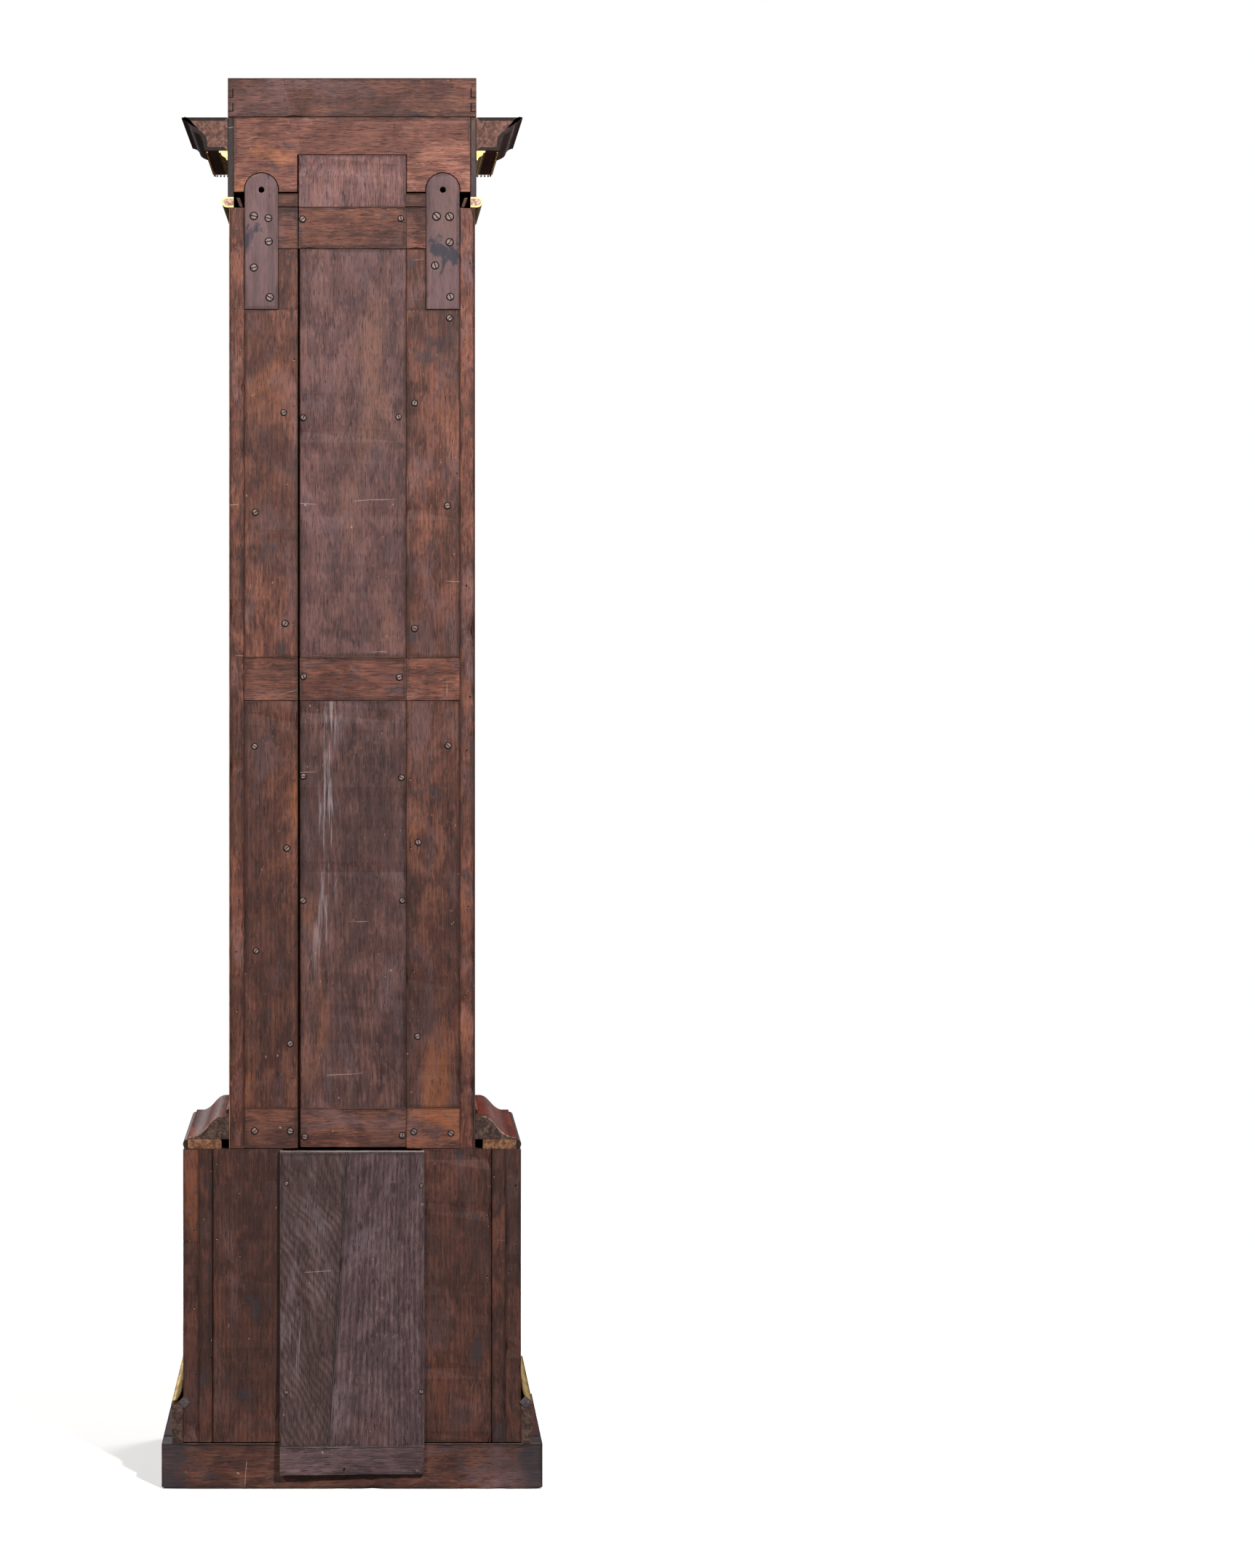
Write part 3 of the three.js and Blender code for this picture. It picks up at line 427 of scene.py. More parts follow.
metalLooks = {
    "castBrass": {
        "bright": "d9bd78", "dull": "b4955a", "spot": "6b5530", "patch": 45, "speck": 0.3,
        "rough": 0.34, "metal": 0.95, "relief": 0.15},
    # darker than the cast brass: tarnish, and painted shade on the cove and torus runs
    "agedBrass": {
        "bright": "a08447", "dull": "6b552c", "spot": "3c2d16", "patch": 40, "speck": 0.4,
        "rough": 0.42, "metal": 0.9, "relief": 0.15},
    "plateIron": {
        "bright": "4b4043", "dull": "312a2d", "spot": "1d181a", "patch": 200, "speck": 0.5,
        "rough": 0.6, "metal": 0.2, "relief": 0.4},
    # a pale, bright copy of the brass for the rear ends of the torus and bed mould: painted highlight
    "paleBrass": {
        "bright": "f3e3a6", "dull": "d9bd74", "spot": "8f7136", "patch": 120, "speck": 0.5,
        "rough": 0.42, "metal": 0.55, "relief": 0.2},
    "oliveBrass": {
        "bright": "ab9c57", "dull": "857740", "spot": "5c5030", "patch": 90, "speck": 0.4,
        "rough": 0.45, "metal": 0.6, "relief": 0.25},
    # dark, dull gilt: age, and painted shade on the bed mould and beads under the cornice
    "oldGilt": {
        "bright": "a87d3c", "dull": "6b4720", "spot": "2f1a0e", "patch": 160, "speck": 0.65,
        "rough": 0.45, "metal": 0.5, "relief": 0.3},
    "brightSteel": {
        "bright": "c8cacc", "dull": "8f9193", "spot": "5a4c44", "patch": 80, "speck": 0.3,
        "rough": 0.3, "metal": 0.95, "relief": 0.15},
    "browningIron": {
        "bright": "84706a", "dull": "604d48", "spot": "33241f", "patch": 260, "speck": 0.5,
        "rough": 0.5, "metal": 0.3, "relief": 0.5},
    "dullSteel": {
        "bright": "77716f", "dull": "544b48", "spot": "3a2a22", "patch": 110, "speck": 0.45,
        "rough": 0.5, "metal": 0.6, "relief": 0.4},
    "blackIron": {
        "bright": "3a3634", "dull": "25221f", "spot": "4b3020", "patch": 140, "speck": 0.4,
        "rough": 0.5, "metal": 0.7, "relief": 0.5},
    "bluedSteel": {
        "bright": "1c2f63", "dull": "121c3c", "spot": "0b0f1c", "patch": 60, "speck": 0.2,
        "rough": 0.2, "metal": 0.9, "relief": 0.08},
    "silveredBrass": {
        "bright": "e6e4de", "dull": "d8d4cb", "spot": "a29c8c", "patch": 22, "speck": 0.2,
        "rough": 0.42, "metal": 0.45, "relief": 0.12},
}
metals = {name: metalFinish(name, look) for name, look in metalLooks.items()}


def leadFinish():
    paint = Paint("castLead")
    x, y, z = paint.split(paint.objectPlace())
    patch = paint.ease(paint.cloud(28, 4, 0.6, 0.5), 0.38, 0.62)
    grit = paint.ease(paint.cloud(420, 3, 0.7), 0.52, 0.64)
    fine = paint.ease(paint.cloud(900, 2, 0.7), 0.54, 0.66)
    edge = paint.ease(paint.cloud(15, 3, 0.6), 0.45, 0.62)
    runs = paint.ease(paint.noise(paint.join(x * 190, y * 60, z * 30), 3), 0.67, 0.73)
    pits = paint.ease(paint.cloud(130, 1), 0.73, 0.76)
    strike = abs(((z + x * 0.28) * 17 + paint.cloud(7, 1) * 0.25).math("FRACT") - 0.5) / 17
    cuts = (1 - paint.ease(strike, 0.0001, 0.0006)) * paint.ease(paint.cloud(11, 1), 0.56, 0.62)
    colour = paint.blend(patch, tint("454347"), tint("5f5c60"))
    colour = paint.blend(fine * 0.3, colour, tint("8d8983"))
    colour = paint.blend(grit * edge * 0.75, colour, tint("b3afa8"))
    colour = paint.blend(runs * 0.75, colour, tint("e2e0dc"))
    colour = paint.blend(cuts * 0.5, colour, tint("c4c1bb"))
    colour = paint.blend(pits * 0.9, colour, tint("1b191a"))
    return paint.surface({
        "Base Color": colour, "Roughness": 0.62 - cuts * 0.2, "Metallic": 0.35,
        "Normal": paint.bump(grit * 0.5 - cuts + patch - pits, 0.6, 0.0007)})


def inkFinish():
    paint = Paint("dialInk")
    wornInk = paint.ease(paint.cloud(300, 3), 0.55, 0.7)
    colour = paint.blend(wornInk * 0.5, tint("101010"), tint("3a3833"))
    return paint.surface({"Base Color": colour, "Roughness": 0.5 + wornInk * 0.2})


def gutFinish():
    paint = Paint("naturalGut")
    x, y, z = paint.split(paint.objectPlace())
    twist = (z * 2600 + x * 1500 + y * 1500).sine() * 0.5 + 0.5
    colour = paint.blend(twist * 0.5 + paint.cloud(90) * 0.3, tint("f3eee0"), tint("cbbf9f"))
    return paint.surface({
        "Base Color": colour, "Roughness": 0.45 + twist * 0.1,
        "Normal": paint.bump(twist, 0.4, 0.0003)})


def glassFinish():
    paint = Paint("clearGlass")
    ripple = paint.cloud(14, 2, 0.5, 0.3)
    clear = paint.node("ShaderNodeBsdfTransparent", None, {"Color": (0.97, 0.975, 0.97, 1)})
    gloss = paint.node("ShaderNodeBsdfGlossy", None, {
        "Color": (0.9, 0.95, 0.93, 1), "Roughness": 0.02,
        "Normal": paint.bump(ripple, 0.05, 0.002)})
    edge = paint.node("ShaderNodeLayerWeight", None, {"Blend": 0.25}, 0)
    mixed = paint.node("ShaderNodeMixShader", None, [edge * 0.35 + 0.012, clear, gloss])
    paint.node("ShaderNodeOutputMaterial", None, {"Surface": mixed})
    return paint.material


castLead = leadFinish()
dialInk = inkFinish()
naturalGut = gutFinish()
clearGlass = glassFinish()
print("finishes ready")


# making pieces

def show(name, mesh, materials):
    piece = bpy.data.objects.new(name, mesh)
    mesh.name = name
    for material in materials:
        mesh.materials.append(material)
    bpy.context.scene.collection.objects.link(piece)
    return piece


def fit(piece, body, slotName, *nodes):
    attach(piece, body)
    if nodes:
        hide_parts(*nodes)
    return piece


def setVectors(mesh, name, values):
    layer = mesh.attributes.new(name, "FLOAT_VECTOR", "POINT")
    layer.data.foreach_set("vector", [number for value in values for number in value])


def smoothSharp(mesh, degrees=35):
    mesh.polygons.foreach_set("use_smooth", [True] * len(mesh.polygons))
    mesh.set_sharp_from_angle(angle=math.radians(degrees))


def tidy(mesh, merge=1e-6):
    work = bmesh.new()
    work.from_mesh(mesh)
    bmesh.ops.remove_doubles(work, verts=work.verts, dist=merge)
    bmesh.ops.recalc_face_normals(work, faces=work.faces)
    work.to_mesh(mesh)
    work.free()
    return mesh


class Joinery:
    # boards and mouldings gathered into one mesh
    def __init__(self, seed):
        self.chance = random.Random(seed)
        self.points, self.faces, self.finish = [], [], []
        self.place, self.half, self.mark = [], [], []

    def addPoint(self, point, place, half, mark):
        self.points.append(point)
        self.place.append(place)
        self.half.append(half)
        self.mark.append(mark)

    def addFace(self, corners, finish):
        self.faces.append(corners)
        self.finish.append(finish)

    def nibble(self, arris, wear):
        # most of an arris is only eased, and now and then a splinter is gone
        deep = wear * self.chance.random() ** 3
        if self.chance.random() < 0.02:
            deep += wear * 2.2
        return arris + deep

    def board(self, x, y, z, grain="z", tone=0.0, figure=0.3, arris=0.0006, wear=0.0006,
              shape=None, finish=0, step=0.016):
        ranges = [x, y, z]
        along = "xyz".index(grain)
        others = sorted((i for i in range(3) if i != along), key=lambda i: ranges[i][0] - ranges[i][1])
        across, depth = others
        middle = [(low + high) / 2 for low, high in ranges]
        halves = [(high - low) / 2 for low, high in ranges]
        hu, hv, hw = halves[across], halves[along], halves[depth]
        most = 0.45 * min(hu, hw, hv)
        mark = (self.chance.uniform(0, 40), tone, figure)
        eased = min(arris, most)
        inner = max(1, round((2 * hv - 2 * eased) / step))
        stations = [-hv] + [-hv + eased + (2 * hv - 2 * eased) * i / inner for i in range(inner + 1)] + [hv]
        first = len(self.points)
        for number, v in enumerate(stations):
            inset = eased if number in (0, len(stations) - 1) else 0
            for su, sw in ((-1, -1), (-1, 1), (1, 1), (1, -1)):
                cut = min(most, self.nibble(arris, wear))
                pair = [(su * (hu - inset), sw * (hw - max(cut, inset))),
                        (su * (hu - max(cut, inset)), sw * (hw - inset))]
                if su != sw:
                    pair.reverse()
                for cu, cw in pair:
                    point = list(middle)
                    point[across] += cu
                    point[along] += v
                    point[depth] += cw
                    if shape:
                        point = shape(*point)
                    self.addPoint(tuple(point), (cu, v, cw), (hu, hv, hw), mark)
        ring = 8
        for s in range(len(stations) - 1):
            for i in range(ring):
                a, b = first + s * ring + i, first + s * ring + (i + 1) % ring
                self.addFace((a, b, b + ring, a + ring), finish)
        last = first + (len(stations) - 1) * ring
        self.addFace(tuple(range(first, first + ring)), finish)
        self.addFace(tuple(range(last, last + ring)), finish)

    def moulding(self, profile, half, front, tone=0.0, figure=0.4, end=1, finish=0, back=rear):
        # wraps the front and both sides of a carcass. profile is a loop of (out, height)
        lengths = [0.0]
        for (o1, z1), (o2, z2) in zip(profile, profile[1:]):
            lengths.append(lengths[-1] + math.hypot(o2 - o1, z2 - z1))
        middle = lengths[-1] / 2
        side, width = back - front, 2 * half
        mark = (self.chance.uniform(0, 40), tone, figure)
        runs = [
            (lambda out: (-half - out, back), 0.0), (lambda out: (-half - out, front - out), side),
            (lambda out: (half + out, front - out), side + width),
            (lambda out: (half + out, back), 2 * side + width)]
        first, count = len(self.points), len(profile)
        for place, run in runs:
            for (out, z), length in zip(profile, lengths):
                x, y = place(out)
                self.addPoint((x, y, z), (length - middle, run - side - half, 0.0), (1, 2, 1), mark)
        for s in range(len(runs) - 1):
            for i in range(count):
                a, b = first + s * count + i, first + s * count + (i + 1) % count
                self.addFace((a, b, b + count, a + count), finish)
        last = first + (len(runs) - 1) * count
        self.addFace(tuple(range(first, first + count)), end)
        self.addFace(tuple(range(last, last + count)), end)

    def build(self, name, materials, edge=None, capInset=0.0, edgeFinish=2):
        mesh = bpy.data.meshes.new(name)
        mesh.from_pydata(self.points, [], self.faces)
        setVectors(mesh, "place", self.place)
        setVectors(mesh, "half", self.half)
        setVectors(mesh, "mark", self.mark)
        mesh.polygons.foreach_set("material_index", self.finish)
        work = bmesh.new()
        work.from_mesh(mesh)
        bmesh.ops.recalc_face_normals(work, faces=work.faces)
        if capInset:
            caps = [f for f in work.faces if f.material_index == 1]
            rims = bmesh.ops.inset_individual(
                work, faces=caps, thickness=capInset, use_even_offset=True)["faces"]
            for face in rims:
                if edge(face.calc_center_median()):
                    face.material_index = edgeFinish
        work.to_mesh(mesh)
        work.free()
        return show(name, mesh, materials)


def line(*points):
    return [(o * mm, z * mm) for o, z in points]


def bezier(p0, p1, p2, p3, steps=8):
    points = []
    for i in range(1, steps + 1):
        t = i / steps
        s = 1 - t
        weights = (s ** 3, 3 * s * s * t, 3 * s * t * t, t ** 3)
        points.append(tuple(
            mm * sum(k * p[axis] for k, p in zip(weights, (p0, p1, p2, p3))) for axis in (0, 1)))
    return points


def arc(cx, cz, radius, start, end, steps=10, flat=1.0):
    points = []
    for i in range(steps + 1):
        angle = math.radians(start + (end - start) * i / steps)
        points.append(((cx + radius * math.cos(angle)) * mm, (cz + radius * flat * math.sin(angle)) * mm))
    return points


def rectangle(x0, z0, x1, z1):
    return [(x0, z0), (x1, z0), (x1, z1), (x0, z1)]


def fromCurve(curve):
    holder = bpy.data.objects.new("drawn", curve)
    bpy.context.scene.collection.objects.link(holder)
    bpy.context.view_layer.update()
    mesh = bpy.data.meshes.new_from_object(holder.evaluated_get(bpy.context.evaluated_depsgraph_get()))
    bpy.data.objects.remove(holder)
    bpy.data.curves.remove(curve)
    return mesh


def plate(outlines, y, arris=0.0006, steps=1):
    # flat outlines in X and Z, in metres, with a thickness from y[0] to y[1] and eased edges
    curve = bpy.data.curves.new("outline", "CURVE")
    curve.dimensions = "2D"
    curve.fill_mode = "BOTH"
    curve.extrude = (y[1] - y[0]) / 2 - arris
    curve.bevel_depth = arris
    curve.offset = -arris
    curve.bevel_resolution = steps
    for outline in outlines:
        spline = curve.splines.new("POLY")
        spline.points.add(len(outline) - 1)
        for point, (x, z) in zip(spline.points, outline):
            point.co = (x, z, 0, 1)
        spline.use_cyclic_u = True
    mesh = fromCurve(curve)
    mesh.transform(Matrix.Translation((0, (y[0] + y[1]) / 2, 0)) @ Matrix.Rotation(math.pi / 2, 4, "X"))
    return tidy(mesh)


def placeGrain(mesh, grain, seed, tone=0.0, figure=0.3):
    # gives a mesh that was not sawn as boards the vectors that the wood finish reads
    corners = [vertex.co.copy() for vertex in mesh.vertices]
    low = Vector(min(c[i] for c in corners) for i in range(3))
    high = Vector(max(c[i] for c in corners) for i in range(3))
    middle, half = (low + high) / 2, (high - low) / 2
    along = "xyz".index(grain)
    order = [i for i in range(3) if i != along]
    order.sort(key=lambda i: -half[i])
    order.insert(1, along)
    setVectors(mesh, "place", [tuple((c - middle)[i] for i in order) for c in corners])
    setVectors(mesh, "half", [tuple(half[i] for i in order)] * len(corners))
    setVectors(mesh, "mark", [(seed, tone, figure)] * len(corners))
    return mesh


def wire(points, radius, sides=12, closed=False):
    curve = bpy.data.curves.new("wire", "CURVE")
    curve.dimensions = "3D"
    curve.bevel_depth = radius
    curve.bevel_resolution = max(0, sides // 4 - 1)
    curve.use_fill_caps = True
    spline = curve.splines.new("POLY")
    spline.points.add(len(points) - 1)
    for point, place in zip(spline.points, points):
        point.co = (*place, 1)
    spline.use_cyclic_u = closed
    mesh = tidy(fromCurve(curve))
    smoothSharp(mesh, 50)
    return mesh


def turned(profile, centre, segments=64):
    # a (radius, depth) profile in metres, turned about an axis along Y through centre (x, z)
    points, faces = [], []
    count = len(profile)
    for i in range(segments):
        angle = 2 * math.pi * i / segments
        for radius, y in profile:
            points.append((centre[0] + radius * math.cos(angle), y, centre[1] + radius * math.sin(angle)))
    for i in range(segments):
        for j in range(count):
            a, b = i * count + j, i * count + (j + 1) % count
            c, d = ((i + 1) % segments) * count + (j + 1) % count, ((i + 1) % segments) * count + j
            faces.append((a, b, c, d))
    mesh = bpy.data.meshes.new("turned")
    mesh.from_pydata(points, [], faces)
    work = bmesh.new()
    work.from_mesh(mesh)
    bmesh.ops.remove_doubles(work, verts=work.verts, dist=1e-7)
    bmesh.ops.dissolve_degenerate(work, edges=work.edges, dist=1e-8)
    bmesh.ops.recalc_face_normals(work, faces=work.faces)
    work.to_mesh(mesh)
    work.free()
    smoothSharp(mesh)
    return mesh


def lathe(profile, x, z, segments=64):
    # the same from millimetres
    return turned([(radius * mm, depth * mm) for radius, depth in profile], (x * mm, z * mm), segments)


def rod(x, z, radius, start, end, segments=24):
    return lathe([(0, start), (radius, start), (radius, end), (0, end)], x, z, segments)


def stood(mesh, place, turn=math.pi / 2, axis="X"):
    # turns a mesh about the origin, then sets it in its place
    mesh.transform(Matrix.Translation(place) @ Matrix.Rotation(turn, 4, axis))
    return mesh


def hoop(x, y, z, radius, count):
    # a closed ring of points in the plane across X
    angles = [math.tau * k / count for k in range(count)]
    return [(x, y + radius * math.cos(a), z + radius * math.sin(a)) for a in angles]


def together(*meshes):
    work = bmesh.new()
    for mesh in meshes:
        work.from_mesh(mesh)
    whole = bpy.data.meshes.new("joined")
    work.to_mesh(whole)
    work.free()
    whole.set_sharp_from_angle(angle=math.radians(35))
    return whole


def bar(x, y, z, arris=0.0004):
    work = bmesh.new()
    bmesh.ops.create_cube(work, size=1)
    for vertex in work.verts:
        vertex.co = Vector(
            (low + high) / 2 + c * (high - low) for c, (low, high) in zip(vertex.co, (x, y, z)))
    bmesh.ops.bevel(work, geom=work.edges, offset=arris, segments=1, affect="EDGES")
    mesh = bpy.data.meshes.new("bar")
    work.to_mesh(mesh)
    work.free()
    return mesh


# Geometry Nodes recipes for what repeats

class Recipe(NodeTree):
    def __init__(self, name, inputs):
        tree = bpy.data.node_groups.new(name, "GeometryNodeTree")
        tree.interface.new_socket("Points", in_out="INPUT", socket_type="NodeSocketGeometry")
        for label, kind in inputs.items():
            tree.interface.new_socket(label, in_out="INPUT", socket_type=f"NodeSocket{kind}")
        tree.interface.new_socket("Material", in_out="INPUT", socket_type="NodeSocketMaterial")
        tree.interface.new_socket("Pieces", in_out="OUTPUT", socket_type="NodeSocketGeometry")
        super().__init__(tree)
        self.given = self.node("NodeGroupInput")

    def named(self, name):
        return self.node("GeometryNodeInputNamedAttribute", {"data_type": "FLOAT"}, {"Name": name})

    def turn(self, x, y, z):
        angles = self.node("ShaderNodeCombineXYZ", None, [x, y, z])
        return self.node("FunctionNodeEulerToRotation", None, [angles])

    def finish(self, pieces):
        whole = self.node("GeometryNodeRealizeInstances", None, [pieces])
        painted = self.node("GeometryNodeSetMaterial", None, {
            "Geometry": whole, "Material": self.given.out("Material")})
        self.tree.links.new(painted.socket, self.tree.nodes.new("NodeGroupOutput").inputs[0])
        return self


def grow(name, recipe, points, values, numbers=None, edges=()):
    # runs a recipe on loose points and keeps what it makes as a plain mesh
    start = bpy.data.meshes.new(name)
    start.from_pydata(points, edges, [])
    for label, each in (numbers or {}).items():
        start.attributes.new(label, "FLOAT", "POINT").data.foreach_set("value", each)
    holder = bpy.data.objects.new(name, start)
    bpy.context.scene.collection.objects.link(holder)
    modifier = holder.modifiers.new("recipe", "NODES")
    modifier.node_group = recipe.tree
    for item in recipe.tree.interface.items_tree:
        if item.in_out == "INPUT" and item.name in values:
            modifier[item.identifier] = values[item.name]
    bpy.context.view_layer.update()
    made = bpy.data.meshes.new_from_object(holder.evaluated_get(bpy.context.evaluated_depsgraph_get()))
    holder.modifiers.clear()
    holder.data = made
    made.name = name
    bpy.data.meshes.remove(start)
    return holder


def screwRecipe():
    # a slotted countersunk head, looking along +Y
    recipe = Recipe("woodScrews", {"Slot width": "Float", "Slot depth": "Float", "Head height": "Float"})
    given = recipe.given
    size = recipe.named("size")
    cone = recipe.node("GeometryNodeMeshCone", {"fill_type": "NGON"}, {
        "Vertices": 18, "Radius Top": 0.84, "Radius Bottom": 1.0, "Depth": given.out("Head height")})
    slotSize = recipe.node("ShaderNodeCombineXYZ", None, [
        2.4, given.out("Slot width"), given.out("Slot depth") * 2.0])
    slot = recipe.node("GeometryNodeMeshCube", None, {"Size": slotSize})
    lift = recipe.node("ShaderNodeCombineXYZ", None, [0.0, 0.0, given.out("Head height")])
    raised = recipe.node("GeometryNodeTransform", None, {"Geometry": slot, "Translation": lift})
    head = recipe.node("GeometryNodeMeshBoolean", {"operation": "DIFFERENCE"}, {
        "Mesh 1": cone, "Mesh 2": raised})
    placed = recipe.node("GeometryNodeInstanceOnPoints", None, {
        "Points": given.out("Points"), "Instance": head, "Scale": size,
        "Rotation": recipe.turn(-math.pi / 2, recipe.named("turn"), 0.0)})
    return recipe.finish(placed)


def spotRecipe():
    # low round caps along +Y: nail holes and the seats round screws, dark as painted shade, and plugs of
    # dust
    recipe = Recipe("roundSpots", {"Height": "Float", "Taper": "Float", "Sides": "Int"})
    given = recipe.given
    cap = recipe.node("GeometryNodeMeshCone", {"fill_type": "NGON"}, {
        "Vertices": given.out("Sides"), "Radius Top": given.out("Taper"), "Radius Bottom": 1.0,
        "Depth": given.out("Height")})
    placed = recipe.node("GeometryNodeInstanceOnPoints", None, {
        "Points": given.out("Points"), "Instance": cap, "Scale": recipe.named("size"),
        "Rotation": recipe.turn(-math.pi / 2, recipe.named("turn"), 0.0)})
    return recipe.finish(placed)


def beadRecipe():
    # a string of beads along the edges given
    recipe = Recipe("beadString", {"Spacing": "Float", "Bead radius": "Float"})
    given = recipe.given
    path = recipe.node("GeometryNodeMeshToCurve", None, [given.out("Points")])
    spots = recipe.node("GeometryNodeCurveToPoints", {"mode": "LENGTH"}, {
        "Curve": path, "Length": given.out("Spacing")})
    bead = recipe.node("GeometryNodeMeshIcoSphere", None, {
        "Radius": given.out("Bead radius"), "Subdivisions": 2})
    placed = recipe.node("GeometryNodeInstanceOnPoints", None, {"Points": spots, "Instance": bead})
    return recipe.finish(placed)


def wheelRecipe():
    # a crossed-out clock wheel in the XZ plane, with its teeth, about each point given
    recipe = Recipe("clockWheel", {
        "Teeth": "Int", "Root radius": "Float", "Tooth height": "Float", "Tooth width": "Float",
        "Rim width": "Float", "Thickness": "Float", "Arms": "Int", "Hub radius": "Float"})
    given = recipe.given
    root, thick = given.out("Root radius"), given.out("Thickness")
    rimWidth = given.out("Rim width")

    def ringOf(count, radius, size):
        circle = recipe.node("GeometryNodeMeshCircle", None, {"Vertices": count, "Radius": radius})
        number = recipe.node("GeometryNodeInputIndex")
        angle = number * (2 * math.pi) / count
        block = recipe.node("GeometryNodeMeshCube", None, {"Size": size})
        return recipe.node("GeometryNodeInstanceOnPoints", None, {
            "Points": circle, "Instance": block, "Rotation": recipe.turn(0.0, 0.0, angle)})

    toothSize = recipe.node("ShaderNodeCombineXYZ", None, [
        given.out("Tooth height") * 2.0, given.out("Tooth width"), thick])
    teeth = ringOf(given.out("Teeth"), root, toothSize)
    armLength = root - given.out("Hub radius")
    armSize = recipe.node("ShaderNodeCombineXYZ", None, [armLength, rimWidth * 0.9, thick * 0.9])
    arms = ringOf(given.out("Arms"), (root + given.out("Hub radius")) * 0.5, armSize)
    outer = recipe.node("GeometryNodeMeshCylinder", None, {
        "Vertices": 96, "Radius": root, "Depth": thick})
    inner = recipe.node("GeometryNodeMeshCylinder", None, {
        "Vertices": 96, "Radius": root - rimWidth, "Depth": thick * 2.0})
    rim = recipe.node("GeometryNodeMeshBoolean", {"operation": "DIFFERENCE"}, {
        "Mesh 1": outer, "Mesh 2": inner})
    hub = recipe.node("GeometryNodeMeshCylinder", None, {
        "Vertices": 32, "Radius": given.out("Hub radius"), "Depth": thick * 1.6})
    whole = recipe.tree.nodes.new("GeometryNodeJoinGeometry")
    for part in (teeth, arms, rim, hub):
        recipe.tree.links.new(part.socket, whole.inputs[0])
    wheel = Wire(recipe, whole.outputs[0])
    placed = recipe.node("GeometryNodeInstanceOnPoints", None, {
        "Points": given.out("Points"), "Instance": wheel,
        "Rotation": recipe.turn(-math.pi / 2, 0.0, 0.0)})
    return recipe.finish(placed)


def tickRecipe():
    # radial bars in the XZ plane, one at each point, as long and wide as the point says
    recipe = Recipe("dialTicks", {"Raised": "Float"})
    given = recipe.given
    block = recipe.node("GeometryNodeMeshCube", None, {"Size": (1.0, 1.0, 1.0)})
    size = recipe.node("ShaderNodeCombineXYZ", None, [
        recipe.named("wide"), given.out("Raised"), recipe.named("tall")])
    placed = recipe.node("GeometryNodeInstanceOnPoints", None, {
        "Points": given.out("Points"), "Instance": block, "Scale": size,
        "Rotation": recipe.turn(0.0, recipe.named("turn"), 0.0)})
    return recipe.finish(placed)


screws, spots, beads = screwRecipe(), spotRecipe(), beadRecipe()
wheels, ticks = wheelRecipe(), tickRecipe()
screwShape = {"Slot width": 0.3, "Slot depth": 0.36, "Head height": 0.22}
print("recipes ready")


def driveScrews(name, body, slotName, places, y, radius, seed):
    # places are (x, z) in millimetres. Each screw gets its own turn of the slot
    chance = random.Random(seed)
    points = [(x * mm, y, z * mm) for x, z in places]
    turnsOf = [chance.uniform(0, math.pi) for _ in places]
    sizes = [radius * chance.uniform(0.9, 1.06) for _ in places]
    heads = grow(name, screws, points, {**screwShape, "Material": metals["browningIron"]}, {
        "turn": turnsOf, "size": sizes})
    fit(heads, body, slotName)
    # a dark ring under each head: painted shade in the gap round it
    seatShade = grow(f"{name}SeatShade", spots, [(x, py - 0.00004, z) for x, py, z in points], {
        "Height": 0.04, "Taper": 0.96, "Sides": 20, "Material": ends["darkGap"]}, {
        "turn": turnsOf, "size": [size * 1.3 for size in sizes]})
    fit(seatShade, body, slotName)


def nailHoles(name, body, slotName, places, y, seed, radius=1.1 * mm):
    chance = random.Random(seed)
    points = [(x * mm, y, z * mm) for x, z in places]
    sizes = [radius * chance.uniform(0.6, 1.3) for _ in places]
    dust = [
        (x + chance.uniform(-1, 1) * 0.0008, py - 0.00003, z - chance.uniform(0.2, 1.2) * 0.001)
        for x, py, z in points]
    # each hole is a dark cap: painted shade inside the hole
    holes = grow(name, spots, points, {
        "Height": 0.1, "Taper": 0.8, "Sides": 8, "Material": ends["darkGap"]}, {
        "turn": [chance.uniform(0, 3) for _ in places], "size": sizes})
    fit(holes, body, slotName)
    pale = grow(f"{name}Dust", spots, dust, {
        "Height": 0.05, "Taper": 0.7, "Sides": 7, "Material": ends["veneerPale"]}, {
        "turn": [chance.uniform(0, 3) for _ in places],
        "size": [size * chance.uniform(0.7, 1.4) for size in sizes]})
    fit(pale, body, slotName)


# trunk: side boards, their edges and the boards at the back

levels = {
    "base": (516.3, 576.0), "lower": (576.0, 1192.0), "middle": (1192.0, 1258.0),
    "upper": (1258.0, 1875.5), "top": (1875.5, 1939.0),
}
trunk = {
    "half": 186.0, "veneer": 1.4, "edge": 23.0, "top": 1938.0, "bottom": 514.3, "front": -30.7,
    "seam": 0.35, "sideBoard": (82.2, 162.6), "boardFront": 116.0, "boardTop": 1959.3,
    "tones": {
        "left": {"base": -0.05, "lower": -0.25, "middle": 0.1, "upper": 0.15, "top": 0.0},
        "right": {"base": 0.0, "lower": -0.25, "middle": 0.65, "upper": 0.15, "top": -0.15},
    },
}


def oneSide(side, low, high):
    return tuple(sorted((side * low * mm, side * high * mm)))


